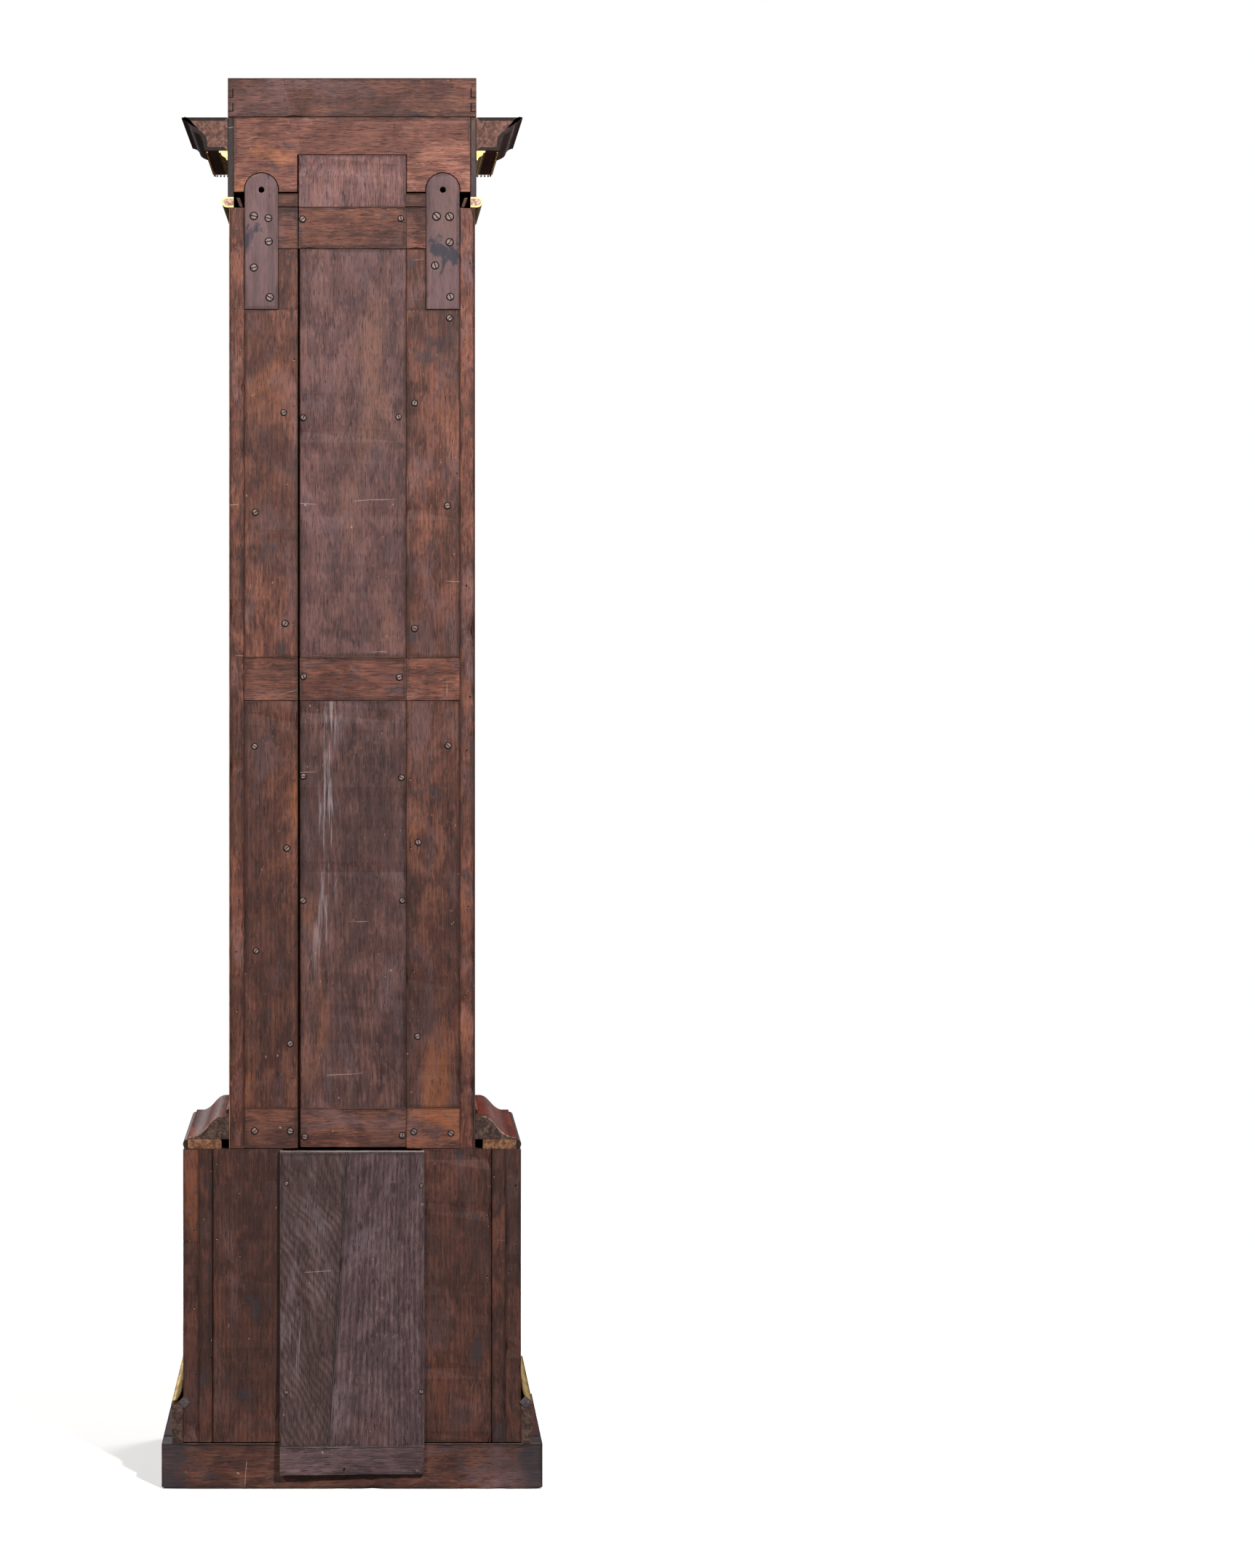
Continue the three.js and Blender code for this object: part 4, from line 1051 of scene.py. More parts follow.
def makeTrunkSides():
    for name, side, seed, edgeTone in (("left", 1, 3, 0.3), ("right", -1, 8, 0.55)):
        inner = trunk["half"] - trunk["edge"]
        core = trunk["half"] - trunk["veneer"]
        timber = Joinery(seed)
        z = span(trunk["bottom"], trunk["top"])
        timber.board(
            oneSide(side, inner, core - 0.1), (trunk["front"] * mm, rear), z, tone=edgeTone, figure=0.2,
            wear=0.001)
        piece = timber.build(f"trunkSide{name.title()}", [woods["agedOak"]])
        fit(piece, "case", "dark_oak", f"trunk_side_{name}")
        skin = Joinery(seed + 1)
        skin.board(
            oneSide(side, core, trunk["half"]), (trunk["front"] * mm, rear - 0.0003), z, figure=0.5,
            wear=0.0009, arris=0.0002)
        piece = skin.build(f"trunkVeneer{name.title()}", [woods["mahogany"]])
        fit(piece, "case", "mahogany", f"trunk_side_{name}")
        edge = Joinery(seed + 2)
        edge.board(
            oneSide(side, core + 0.1, trunk["half"] - 0.1), (rear - 0.0004, rear), z, arris=0.0001,
            wear=0.0006)
        piece = edge.build(
            f"trunkVeneerEdge{name.title()}", [woods["veneerEdge" if side > 0 else "inkEdge"]])
        fit(piece, "case", "mahogany")


def makeSideBoards():
    for name, side, seed in (("left", 1, 20), ("right", -1, 31)):
        timber = Joinery(seed)
        tones = trunk["tones"][name]
        low, high = trunk["sideBoard"]
        strapLine, strapFoot, letIn = 111.6, 1783.6, 10.4
        y = (trunk["boardFront"] * mm, rear)
        behindStrap = (trunk["boardFront"] * mm, rear - letIn * mm)
        for part, (bottom, top) in levels.items():
            flat = part in ("base", "middle", "top")
            grain = "x" if flat else "z"
            figure = 0.2 if flat else 0.35
            bottom = bottom if part != "base" else trunk["bottom"]
            z = span(bottom + trunk["seam"], top - trunk["seam"])
            if part == "upper":
                # the strap is let into the outer part of this board
                timber.board(
                    oneSide(side, low, high), y, span(bottom + trunk["seam"], strapFoot), grain,
                    tones[part], figure)
                timber.board(
                    oneSide(side, low, strapLine), y, span(strapFoot, top - trunk["seam"]), grain,
                    tones[part] - 0.05, figure)
                timber.board(
                    oneSide(side, strapLine, high), behindStrap, span(strapFoot, top), grain, 0, figure)
            elif part == "top":
                timber.board(oneSide(side, low, strapLine), y, z, grain, tones[part], figure)
                timber.board(oneSide(side, strapLine, high), behindStrap, z, grain, 0, figure)
            else:
                timber.board(oneSide(side, low, high), y, z, grain, tones[part], figure)
        upper = span(levels["top"][1] + trunk["seam"], trunk["boardTop"])
        timber.board(oneSide(side, low, strapLine), y, upper, "x", 0.35, 0.2)
        timber.board(oneSide(side, strapLine, high), behindStrap, upper, "x", -0.1, 0.2)
        piece = timber.build(f"sideBoard{name.title()}", [woods["agedOak"]])
        fit(piece, "case", "dark_oak", f"trunk_back_{name}")


longBoard = {
    "left": 80.8, "leftRail": 79.0, "leftFoot": 77.8, "right": -81.8, "thick": 13.0, "top": 2017.4,
    "tones": {"base": -0.1, "lower": 0.0, "middle": 0.85, "upper": 0.0, "top": 0.3},
}


def makeLongBoard():
    timber = Joinery(47)
    y = (rear - longBoard["thick"] * mm, rear + 0.0002)
    first = (longBoard["left"] - longBoard["leftRail"]) * mm
    second = (longBoard["leftRail"] - longBoard["leftFoot"]) * mm
    knee = levels["middle"][1] * mm
    foot = levels["base"][0] * mm

    def taper(px, py, pz):
        # the left edge draws in below the top rail, and again towards the foot
        gap = first if pz < levels["upper"][1] * mm else 0
        gap += second * min(1.0, max(0.0, (knee - pz) / (knee - foot)))
        return (px - gap if px > 0 else px, py, pz)

    for part, (bottom, top) in levels.items():
        flat = part in ("base", "middle", "top")
        timber.board(
            span(longBoard["right"], longBoard["left"]), y,
            span(bottom + trunk["seam"] * 0.6, top - trunk["seam"] * 0.6), "x" if flat else "z",
            longBoard["tones"][part], {"lower": 0.42, "upper": 0.2}.get(part, 0.2), shape=taper,
            finish=1 if flat else 2 * (part == "lower"), wear=0.0008)
    timber.board(
        span(longBoard["right"], longBoard["left"]), y, span(levels["top"][1] + 0.3, longBoard["top"]),
        "z", 0.75, 0.3, wear=0.0008)
    piece = timber.build("longBoard", [woods["longBoardOak"], woods["agedOak"], woods["waxedOak"]])
    fit(piece, "back_board", "dark_oak", "back_board")


def makeChute():
    for name, seed in (("left", 61), ("right", 66)):
        low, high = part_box(f"chute_cheek_{name}")
        timber = Joinery(seed)
        timber.board((low.x, high.x), (low.y, high.y), (low.z, high.z), tone=-0.1)
        piece = timber.build(f"chuteCheek{name.title()}", [woods["agedOak"]])
        fit(piece, "case", "dark_oak", f"chute_cheek_{name}")
    low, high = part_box("chute_partition")
    timber = Joinery(70)
    cuts = [516.3, 576.0, 1192.0, 1258.0, 1875.5, 1957.0]
    for number, (bottom, top) in enumerate(zip(cuts, cuts[1:])):
        z = span(bottom + 0.1, top - 0.1)
        if number % 2 == 0:
            timber.board((low.x, high.x), (low.y, high.y), z, "x", 0.1, finish=1)
            continue
        edges = [low.x, -0.052, 0.004, 0.045, high.x]
        for plank, (x0, x1) in enumerate(zip(edges, edges[1:])):
            timber.board((x0 + 1e-4, x1 - 1e-4), (low.y, high.y), z, "z", 0.12 * (plank % 3) - 0.1, 0.3)
    piece = timber.build("chutePartition", [woods["oldPine"], woods["agedOak"]])
    fit(piece, "case", "pine", "chute_partition")


straps = {"centre": 137.2, "half": 25.3, "bottom": 1784.0, "round": 1964.7, "hole": 4.4}


def makeStraps():
    for name, side, seed in (("left", 1, 5.0), ("right", -1, 11.0)):
        middle, half, foot = side * straps["centre"], straps["half"], straps["bottom"]
        outline = line((middle - half, foot), (middle + half, foot))
        outline += arc(middle, straps["round"], half, 0, 180, 28)
        hole = arc(middle, straps["round"], straps["hole"], 360, 12, 24)
        mesh = plate([outline, hole], (rear - 0.01, rear + 0.0015), 0.0012, 2)
        placeGrain(mesh, "z", seed, 0.0, 0.15)
        smoothSharp(mesh, 40)
        fit(show(f"wallStrap{name.title()}", mesh, [woods["strapOak"]]), "case", "strap_wood",
            f"wall_strap_{name}")


screwPlaces = {
    "strap": [(148.5, 1925), (126.5, 1921.7), (126, 1886.5), (148.5, 1847), (124.3, 1802),
              (-127.6, 1924.5), (-147.4, 1924), (-147.4, 1885.4), (-125.4, 1850.2), (-148.5, 1802.9)],
    "longBoard": [(74.8, 1920.6), (-73.7, 1921.7), (73.7, 1620.3), (-70.4, 1621.4), (73.5, 1228.7),
                  (-71.5, 1227.6), (73.7, 1078), (-74.8, 1075.8), (74.2, 889.9), (-75.9, 889.9),
                  (71.5, 532.4), (-75.9, 534.6)],
    "sideBoard": [(-147.4, 1771), (103.4, 1628), (-94.6, 1642.3), (146.3, 1477.3), (-144.1, 1487.2),
                  (101.2, 1309), (-94.6, 1301.3), (147.4, 1123.1), (-145.2, 1124.2), (99, 969.1),
                  (-100.1, 977.9), (145.2, 814), (93.5, 673.2), (-99, 684.2), (147.4, 541.2),
                  (93.5, 541.2), (-93.5, 540.1), (-149.6, 537.9)],
    "cover": [(99, 463.1), (-104.5, 459.8), (99, 148.5), (-104.5, 148.5)],
}


def makeScrews():
    driveScrews("strapScrews", "case", "steel", screwPlaces["strap"], rear + 0.0014, 5.2 * mm, 2)
    driveScrews("longBoardScrews", "back_board", "steel", screwPlaces["longBoard"], rear + 0.0001,
                4.0 * mm, 3)
    driveScrews("sideBoardScrews", "case", "steel", screwPlaces["sideBoard"], rear - 0.0002,
                4.2 * mm, 4)
    chance = random.Random(12)
    along = []
    for side in (1, -1):
        for step in range(17):
            z = 560 + step * 82 + chance.uniform(-30, 30)
            along.append((side * chance.choice([88, 92, 158, 172, 177]) + chance.uniform(-2, 2), z))
    nailHoles("trunkNails", "case", "steel", along, rear - 0.0002, 13)
    board = [(chance.uniform(-70, 70), chance.uniform(560, 1900)) for _ in range(9)]
    nailHoles("longBoardNails", "back_board", "steel", board, rear + 0.0001, 14, 0.8 * mm)
    base = [(side * chance.choice([248, 238, 214, 204, 170]), chance.uniform(90, 500))
            for side in (1, -1) for _ in range(14)]
    nailHoles("baseNails", "case", "steel", base, rear - 0.0002, 15)


# base, plinth and shoulder

base = {
    "half": 255.5, "front": -119.0, "bottom": 70.6, "top": 513.8, "veneer": 1.5,
    "stile": (211.0, 232.0), "coverHole": 105.0,
}


def makeBase():
    z = span(base["bottom"], base["top"])
    backY = (rear - 0.018, rear)
    sideY = span(-100.7, 117.7)
    for name, side, seed in (("left", 1, 80), ("right", -1, 90)):
        timber = Joinery(seed)
        core = base["half"] - base["veneer"]
        timber.board(oneSide(side, 237.6, core - 0.1), sideY, z, tone=-0.1)
        timber.board(oneSide(side, core, base["half"]), sideY, z, figure=0.6, finish=1, arris=0.0002)
        piece = timber.build(f"baseSide{name.title()}", [woods["agedOak"], woods["mahogany"]])
        fit(piece, "case", "mahogany", f"base_side_{name}")
        back = Joinery(seed + 3)
        inner, outer = base["stile"]
        back.board(oneSide(side, outer + 0.05, base["half"]), backY, z, tone=-0.15, figure=0.2, wear=0.001)
        back.board(oneSide(side, inner + 0.6, outer - 0.05), backY, z, tone=0.0, figure=0.2)
        back.board(oneSide(side, base["coverHole"], inner - 0.6), backY, z,
                   tone=0.0 if side > 0 else 0.2, figure=0.45, wear=0.0012)
        piece = back.build(f"baseBack{name.title()}", [woods["baseOak"]])
        fit(piece, "case", "dark_oak", f"base_back_{name}")
    front = Joinery(97)
    front.board(span(-base["half"], base["half"]), span(base["front"], -101.2), z, figure=0.6)
    fit(front.build("baseFront", [woods["mahogany"]]), "case", "mahogany", "base_front")
    low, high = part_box("base_floor")
    floorBoards = Joinery(99)
    for number in range(4):
        width = (high.x - low.x) / 4
        floorBoards.board(
            (low.x + number * width + 1e-4, low.x + (number + 1) * width - 1e-4), (low.y, high.y),
            (low.z, high.z), "y", 0.1 * (number % 2), 0.3)
    fit(floorBoards.build("baseFloor", [woods["oldPine"]]), "case", "pine", "base_floor")


plinth = {"half": 288.0, "front": -150.0, "top": 68.7, "board": 45.0, "foot": 3.0}


def makePlinth():
    half, front, thick = plinth["half"], plinth["front"], plinth["board"]
    timber = Joinery(104)

    def roundedFoot(px, py, pz):
        # the lower outer corners have been knocked round
        lift = max(0.0, abs(px) - (half - 9) * mm)
        return (px, py, max(pz, lift * lift * 38) if pz < 0.01 else pz)

    z = (0.0, plinth["top"] * mm)
    timber.board(span(-half, half), (rear - thick * mm, rear), z, "x", -0.05, 0.3, wear=0.0014,
                 shape=roundedFoot, arris=0.001)
    for side in (1, -1):
        length = (front * mm + thick * mm + 0.0001, rear - thick * mm - 0.0002)
        timber.board(oneSide(side, half - thick, half), length, z, "y", 0, 0.5, finish=1)
    timber.board(span(-half, half), span(front, front + thick), z, "x", 0, 0.5, finish=1)
    piece = timber.build("plinthFrame", [woods["plinthOak"], woods["mahogany"]])
    fit(piece, "case", "mahogany", "plinth")
    skirt = Joinery(108)
    reach = 16.7
    profile = line((0.3, 69.3), (reach, 69.3), (reach, 124))
    profile += bezier((reach, 124), (reach, 128), (reach - 1.5, 130.7), (reach - 4, 130.8), 5)
    profile += line((0.3, 130.9))
    skirt.moulding(profile, base["half"] * mm, base["front"] * mm, figure=0.5)
    piece = skirt.build("skirting", [woods["mahogany"], ends["oakEnd"]])
    fit(piece, "case", "mahogany", "skirting")
    cove = Joinery(109)
    outer = arc(reach, 165, reach - 0.4, 180, 270, 12, 33.5 / (reach - 0.4))
    inside = arc(reach, 165, reach - 2.0, 270, 180, 12, 31.9 / (reach - 2.0))
    cove.moulding(outer + inside, base["half"] * mm, base["front"] * mm, end=0)
    # the cove is in the darker brass: tarnish and painted shade
    piece = cove.build("brassCove", [metals["agedBrass"]])
    fit(piece, "case", "brass", "brass_cove")
    # a small iron plate, set cornerwise, pins each rear end of the brass
    z, size, thick = 131.5, 9.6, 1.2 * mm
    for name, x in (("Left", 253.4), ("Right", -262.5)):
        outline = line((x - size, z), (x, z - size), (x + size, z), (x, z + size))
        mesh = plate([outline], (rear, rear + thick), 0.0003)
        fit(show(f"cornerPlate{name}", mesh, [metals["plateIron"]]), "case", "steel")
        pins = [(x - 3.6, z + 0.6), (x + 3.6, z - 0.6)]
        driveScrews(f"cornerScrews{name}", "case", "steel", pins, rear + thick, 1.7 * mm, 21)


def makeShoulder():
    half, front = trunk["half"] * mm, -0.049
    timber = Joinery(115)
    profile = line((0.3, 529), (62.2, 529), (62.2, 532.2))
    profile += bezier((62.2, 532.2), (49, 531.5), (40, 539.5), (34.7, 546.2), 10)
    profile += bezier((34.7, 546.2), (28, 554.5), (22, 563.6), (10.5, 563.9), 10)
    profile += line((0.3, 563.9))
    timber.moulding(profile, half, front, figure=0.5)
    # the shoulder is in the paler mahogany copy: painted light on its top
    piece = timber.build(
        "shoulderMoulding", [woods["dulledMahogany"], ends["oakEnd"], ends["veneerPale"]],
        lambda c: abs(c.x) > half + 0.009 and c.z > 0.531, 0.0014)
    fit(piece, "case", "mahogany", "shoulder_moulding")
    packing = Joinery(117)
    packing.moulding(line((12, 514.4), (62.4, 514.4), (62.4, 528.6), (12, 528.6)), half, front, figure=0.3)
    fit(packing.build("shoulderPacking", [woods["oldPine"], ends["packingEnd"]]), "case", "pine",
        "shoulder_packing")
    nose = Joinery(118)
    bead = line((62.8, 514.4)) + arc(62.8, 521.5, 7.0, -90, 90, 14)
    nose.moulding(bead, half, front, figure=0.3)
    fit(nose.build("shoulderBead", [woods["mahogany"], ends["veneerDark"]]), "case", "mahogany",
        "shoulder_packing")
    astragal = Joinery(119)
    small = line((0.2, 566.4)) + arc(0.6, 570.4, 4.1, -90, 90, 12) + line((0.2, 574.5))
    astragal.moulding(small, half, front, figure=0.3)
    # the astragal is in the paler mahogany copy: painted light
    fit(astragal.build("trunkAstragal", [woods["dulledMahogany"], ends["veneerDark"]]), "case", "mahogany")


cover = {
    "half": 109.0, "thick": 6.3, "stand": 136.4, "top": 510.0, "bottom": 23.4,
    "cleat": (23.4, 66.0), "seamTop": 7.5, "seamFoot": 35.0, "twist": 7.1,
}


def makeBaseCover():
    timber = Joinery(131)
    top, foot = cover["top"] * mm, cover["cleat"][1] * mm

    def seamAt(z):
        share = (top - z) / (top - foot)
        return (cover["seamTop"] + (cover["seamFoot"] - cover["seamTop"]) * share) * mm

    def warp(px, py, pz):
        # the board has cast, and stands off at its lower left corner
        low = 1 - min(1.0, max(0.0, (pz - 0.02) / 0.27))
        left = min(1.0, max(0.0, (px + 0.05) / 0.159))
        return (px, py + cover["twist"] * mm * low ** 1.3 * left ** 1.1, pz)

    def leftPlank(px, py, pz):
        return warp(px if px > 0.05 else seamAt(pz) + 0.0004 + (px - seamStart), py, pz)

    def rightPlank(px, py, pz):
        return warp(px if px < -0.05 else seamAt(pz) - 0.0004 + (px - seamStart), py, pz)

    seamStart = 0.01
    y = span(cover["stand"], cover["stand"] + cover["thick"])
    z = (foot + 0.0003, top)
    half = cover["half"] * mm
    timber.board((seamStart, half), y, z, "z", 0.0, 0.6, shape=leftPlank, wear=0.0008, finish=1)
    timber.board((-half, seamStart), y, z, "z", 0.0, 0.6, shape=rightPlank, wear=0.0008)
    timber.board((-half, half), y, (cover["bottom"] * mm, foot - 0.0003), "x", 0.05, 0.3,
                 shape=warp, wear=0.0012)
    # the pale strip along the top: wear, and a painted highlight of the lit top edge
    lip = (top + 0.0001, top + 0.0018)
    timber.board((-half, half), y, lip, "x", 0.1, 0.1, shape=warp, arris=0.0009, finish=2)
    piece = timber.build("baseCover", [woods["coverOak"], woods["coverCurl"], woods["wornLip"]])
    fit(piece, "base_cover", "cover_oak", "base_cover")
    flat = rear + (cover["stand"] - 136 + cover["thick"]) * mm
    spotsOn = [place for place in screwPlaces["cover"] if not (place[0] > 0 and place[1] < 200)]
    driveScrews("coverScrews", "base_cover", "steel", spotsOn, flat - 0.0002, 3.1 * mm, 6)
    lowScrew = [place for place in screwPlaces["cover"] if place not in spotsOn]
    x, zLow = lowScrew[0]
    raised = warp(x * mm, flat, zLow * mm)[1]
    driveScrews("coverScrewLow", "base_cover", "steel", lowScrew, raised - 0.0002, 3.1 * mm, 7)
    nailHoles("cleatHole", "base_cover", "steel", [(11.7, 31.6)], warp(0.0117, flat, 0.0316)[1], 9,
              2.4 * mm)


makeTrunkSides()
makeSideBoards()
makeLongBoard()
makeChute()
makeStraps()
makeScrews()
makeBase()
makePlinth()
makeShoulder()
makeBaseCover()
print("case built")


# hood

hood = {
    "half": 188.0, "board": 9.0, "front": -80.0, "back": (118.0, 136.0), "bottom": 1962.0,
    "top": 2074.4, "attic": (2075.0, 2134.0), "attics": 12.0, "notch": 26.6, "seat": 1954.3,
}


def hoodOutline(tongue, tongueTop):
    half = hood["half"] - hood["board"] - 0.3
    centre, notch, bottom = straps["centre"], hood["notch"], hood["bottom"]
    rise = math.degrees(math.asin((straps["round"] - bottom) / notch))
    points = line((-half, bottom))
    points += arc(-centre, straps["round"], notch, 180 + rise, -rise, 24)
    points += line((-tongue, bottom), (-tongue, tongueTop), (tongue, tongueTop), (tongue, bottom))
    points += arc(centre, straps["round"], notch, 180 + rise, -rise, 24)
    points += line((half, bottom), (half, hood["top"]), (-half, hood["top"]))
    return points


def makeHood():
    front, back = span(*hood["back"])
    step = rear - 0.0133
    for name, tongue, top, y in (("hoodBackInner", 76.5, 2009.7, (front, step)),
                                 ("hoodBack", 82.9, 2018.4, (step, back))):
        mesh = plate([hoodOutline(tongue, top)], y, 0.0004)
        placeGrain(mesh, "x", 17.0, 0.1, 0.3)
        fit(show(name, mesh, [woods["hoodOak"]]), "hood", "dark_oak", "hood_back")
    half, thick = hood["half"], hood["board"]
    for name, side, seed in (("left", 1, 140), ("right", -1, 146)):
        timber = Joinery(seed)
        z = span(hood["seat"], hood["top"])
        timber.board(oneSide(side, half - thick, half), (hood["front"] * mm + thick * mm, rear - 0.004), z,
                     figure=0.5)
        timber.board(oneSide(side, half - thick + 0.2, half), (rear - 0.004, rear), z, finish=1,
                     wear=0.001)
        piece = timber.build(f"hoodSide{name.title()}", [woods["mahogany"], woods["inkEdge"]])
        fit(piece, "hood", "mahogany", f"hood_side_{name}")
    face = Joinery(150)
    y = span(hood["front"], hood["front"] + thick)
    face.board(span(-half, half), y, span(hood["seat"], hood["top"]), "x", 0, 0.6)
    fit(face.build("hoodFront", [woods["mahogany"]]), "hood", "mahogany", "hood_front")


def makeAttic():
    half, thick = hood["half"], hood["attics"]
    low, high = hood["attic"]
    timber = Joinery(155)
    y = span(hood["front"], 136.0)
    inside = (y[0] + thick * mm, y[1] - thick * mm)
    lid = high - thick
    timber.board(span(-half, half), (y[1] - thick * mm, y[1]), span(low + 0.3, high), "x", 0.05, 0.3,
                 wear=0.0009)
    timber.board(span(-half, half), (y[0], inside[1] - 0.0001), span(lid + 0.2, high), "x", 0, 0.3,
                 wear=0.001)
    for side in (1, -1):
        timber.board(oneSide(side, half - thick, half - 0.2), inside, span(low + 0.3, lid), "y", 0, 0.3)
    timber.board(span(-half, half), (y[0], y[0] + thick * mm), span(low + 0.3, lid), "x", 0, 0.5, finish=1)
    piece = timber.build("atticBox", [woods["agedOak"], woods["mahogany"]])
    fit(piece, "hood", "dark_oak", "attic_box")
    # the ends of the dovetails that join the attic's sides to its back, as near-black strips: dark joints
    # with painted shade
    marks = []
    for side in (1, -1):
        for bottom, top in ((2083.5, 2096), (2105, 2118.5)):
            for inner, outer, end in ((179.6, 180.9, top), (180.9, 187.6, bottom + 0.7)):
                x = oneSide(side, inner, outer)
                marks.append(bar(x, (rear - 0.0003, rear), span(bottom, end), 0.0001))
    fit(show("atticDovetails", together(*marks), [ends["darkGap"]]), "hood", "dark_oak")


def makeCornice():
    half, front = hood["half"] * mm, hood["front"] * mm
    timber = Joinery(160)
    profile = line((0.3, 2024.3), (35, 2024.3), (36.4, 2032))
    profile += bezier((36.4, 2032), (36.2, 2036), (36.4, 2040), (38.0, 2043.2), 6)
    profile += bezier((38.0, 2043.2), (42, 2051.5), (53.5, 2050.5), (57.2, 2060.8), 10)
    profile += bezier((57.2, 2060.8), (58.6, 2066.5), (63, 2069.6), (69.6, 2071.6), 8)
    profile += line((69.9, 2074.5), (0.3, 2074.5))
    timber.moulding(profile, half, front, figure=0.5)
    piece = timber.build(
        "cornice", [woods["shadowMahogany"], ends["corniceEnd"], ends["veneerDark"]],
        lambda c: c.z < 2.0735 and abs(c.x) > half + 0.003, 0.0052)
    fit(piece, "hood", "mahogany", "cornice")
    gilt = Joinery(164)
    bed = line((0.3, 2009.7), (2, 2009.7))
    bed += bezier((2, 2009.7), (3, 2017), (9, 2013), (10.5, 2021), 8)
    bed += line((13.4, 2021.4), (13.4, 2023.8), (0.3, 2023.8))
    gilt.moulding(bed, half, front)
    # the bed mould runs in dark gilt, age and painted shade; its rear ends are in the pale brass, a painted
    # highlight
    fit(gilt.build("giltBedMould", [metals["oldGilt"], metals["paleBrass"]]), "hood", "gilt", "bed_mould")
    out, height = 31.5 * mm, 2021.9 * mm
    path = [(-half - out, rear - 0.004, height), (-half - out, front - out, height),
            (half + out, front - out, height), (half + out, rear - 0.004, height)]
    # the beads are in the same dark gilt: age and painted shade
    string = grow("giltBeads", beads, path, {
        "Spacing": 0.0056, "Bead radius": 0.0016, "Material": metals["oldGilt"]},
        edges=[(0, 1), (1, 2), (2, 3)])
    fit(string, "hood", "gilt")


def makeTorus():
    half, front = hood["half"] * mm, hood["front"] * mm
    low, high = 1938.4, 1953.9
    middle = (low + high) / 2
    skin, core = Joinery(170), Joinery(171)
    swell = 9.2

    def halfRound(shrink):
        rise = (high - low) / 2 - shrink
        return arc(0.2, middle, swell - shrink, -90, 90, 16, rise / (swell - shrink))

    outer = line((-8.8, low)) + halfRound(0) + line((-8.8, high))
    inner = line((-8.8, high - 2.6)) + halfRound(2.6)[::-1] + line((-8.8, low + 2.6))
    skin.moulding(outer + inner, half, front)
    # the torus run is in the darker brass, tarnish and painted shade; its rear ends are in the pale brass, a
    # painted highlight
    fit(skin.build("brassTorus", [metals["agedBrass"], metals["paleBrass"]]), "hood", "brass", "brass_torus")
    core.moulding(line((-8.8, low + 2.8)) + halfRound(2.8) + line((-8.8, high - 2.8)), half, front,
                  back=rear - 0.0004)
    fit(core.build("torusCore", [woods["oldPine"], ends["coreEnd"]]), "hood", "pine", "brass_torus")


def makeLocatingBlocks():
    # slanted blocks beside the straps, which guide the hood down on to the trunk
    timber = Joinery(175)
    for side in (1, -1):
        def lean(px, py, pz):
            return (px + side * (pz - 1.9395) * 0.35, py, pz)
        timber.board(oneSide(side, 165.2, 170.4), (0.112, rear - 0.003), span(1939.5, 1953.4), "z", -0.2,
                     shape=lean)
    fit(timber.build("locatingBlocks", [woods["agedOak"]]), "case", "dark_oak")


makeHood()
makeAttic()
makeCornice()
makeTorus()
makeLocatingBlocks()
print("hood built")


# weight, pulley and line

weight = {
    "half": 67.5, "y": (79.5, 104.5), "z": (898.0, 1161.0), "corner": 14.0, "cell": 5.0,
    "eye": 1183.8, "eyeRadius": 9.0, "hook": 1204.0, "hookRadius": 7.5,
}
pulley = {"x": 2.95, "y": 92.0, "z": 1275.7, "line": 22.25, "rim": 23.4, "half": 3.75}


def makeLeadWeight():
    half, corner = weight["half"], weight["corner"]
    low, high = weight["z"]
    outline = arc(half - 4, low + 4, 3.6, -90, 0, 3)
    outline += arc(half - corner, high - corner, corner - 0.6, 0, 90, 6)
    outline += arc(corner - half, high - corner, corner - 0.6, 90, 180, 6)
    outline += arc(4 - half, low + 4, 3.6, 180, 270, 3)
    hole = arc(-5, high - 21, 4.2, 360, 12, 18)
    mesh = plate([outline, hole], span(*weight["y"]), 0.0022, 2)
    work = bmesh.new()
    work.from_mesh(mesh)
    for axis, start, stop in ((0, -half, half), (2, low, high)):
        position = start + weight["cell"]
        while position < stop - 1:
            normal = Vector((axis == 0, 0, axis == 2))
            bmesh.ops.bisect_plane(
                work, geom=work.verts[:] + work.edges[:] + work.faces[:], dist=1e-6,
                plane_co=normal * position * mm, plane_no=normal)
            position += weight["cell"]
    bmesh.ops.triangulate(work, faces=[f for f in work.faces if len(f.verts) > 4])
    work.normal_update()
    for vertex in work.verts:
        swell = noise.noise(vertex.co * 26) * 0.0011 + noise.noise(vertex.co * 120) * 0.0004
        edge = min(1.0, (0.0675 - abs(vertex.co.x)) / 0.004 + 0.2)
        vertex.co += vertex.normal * (swell * edge - 0.0009)
    work.to_mesh(mesh)
    work.free()
    smoothSharp(mesh, 55)
    fit(show("leadWeight", mesh, [castLead]), "weight", "lead", "lead_weight")
    x, y = pulley["x"] * mm, pulley["y"] * mm
    ring = hoop(x, y, weight["eye"] * mm, weight["eyeRadius"] * mm, 32)
    eye = together(
        wire(ring, 0.002, 12, True), wire([(x, y, 1.157), (x, y, 1.1735)], 0.003, 12),
        rod(pulley["x"], 1166, 6.5, pulley["y"] - 0.1, pulley["y"] + 0.1, 16))
    fit(show("weightEye", eye, [metals["blackIron"]]), "weight", "steel", "lead_weight")


def makeHook():
    x, y, middle = span(pulley["x"], pulley["y"], weight["hook"])
    radius = weight["hookRadius"] * mm
    points = []
    for up, start, end in ((1, -22, 270), (-1, 90, -202)):
        for i in range(1 if up < 0 else 0, 33):
            angle = math.radians(start + (end - start) * i / 32)
            height = middle + up * radius + radius * math.sin(angle)
            points.append((x + radius * math.cos(angle), y, height))
    fit(show("sHook", wire(points, 0.0015, 12), [metals["brightSteel"]]), "weight", "steel", "s_hook")


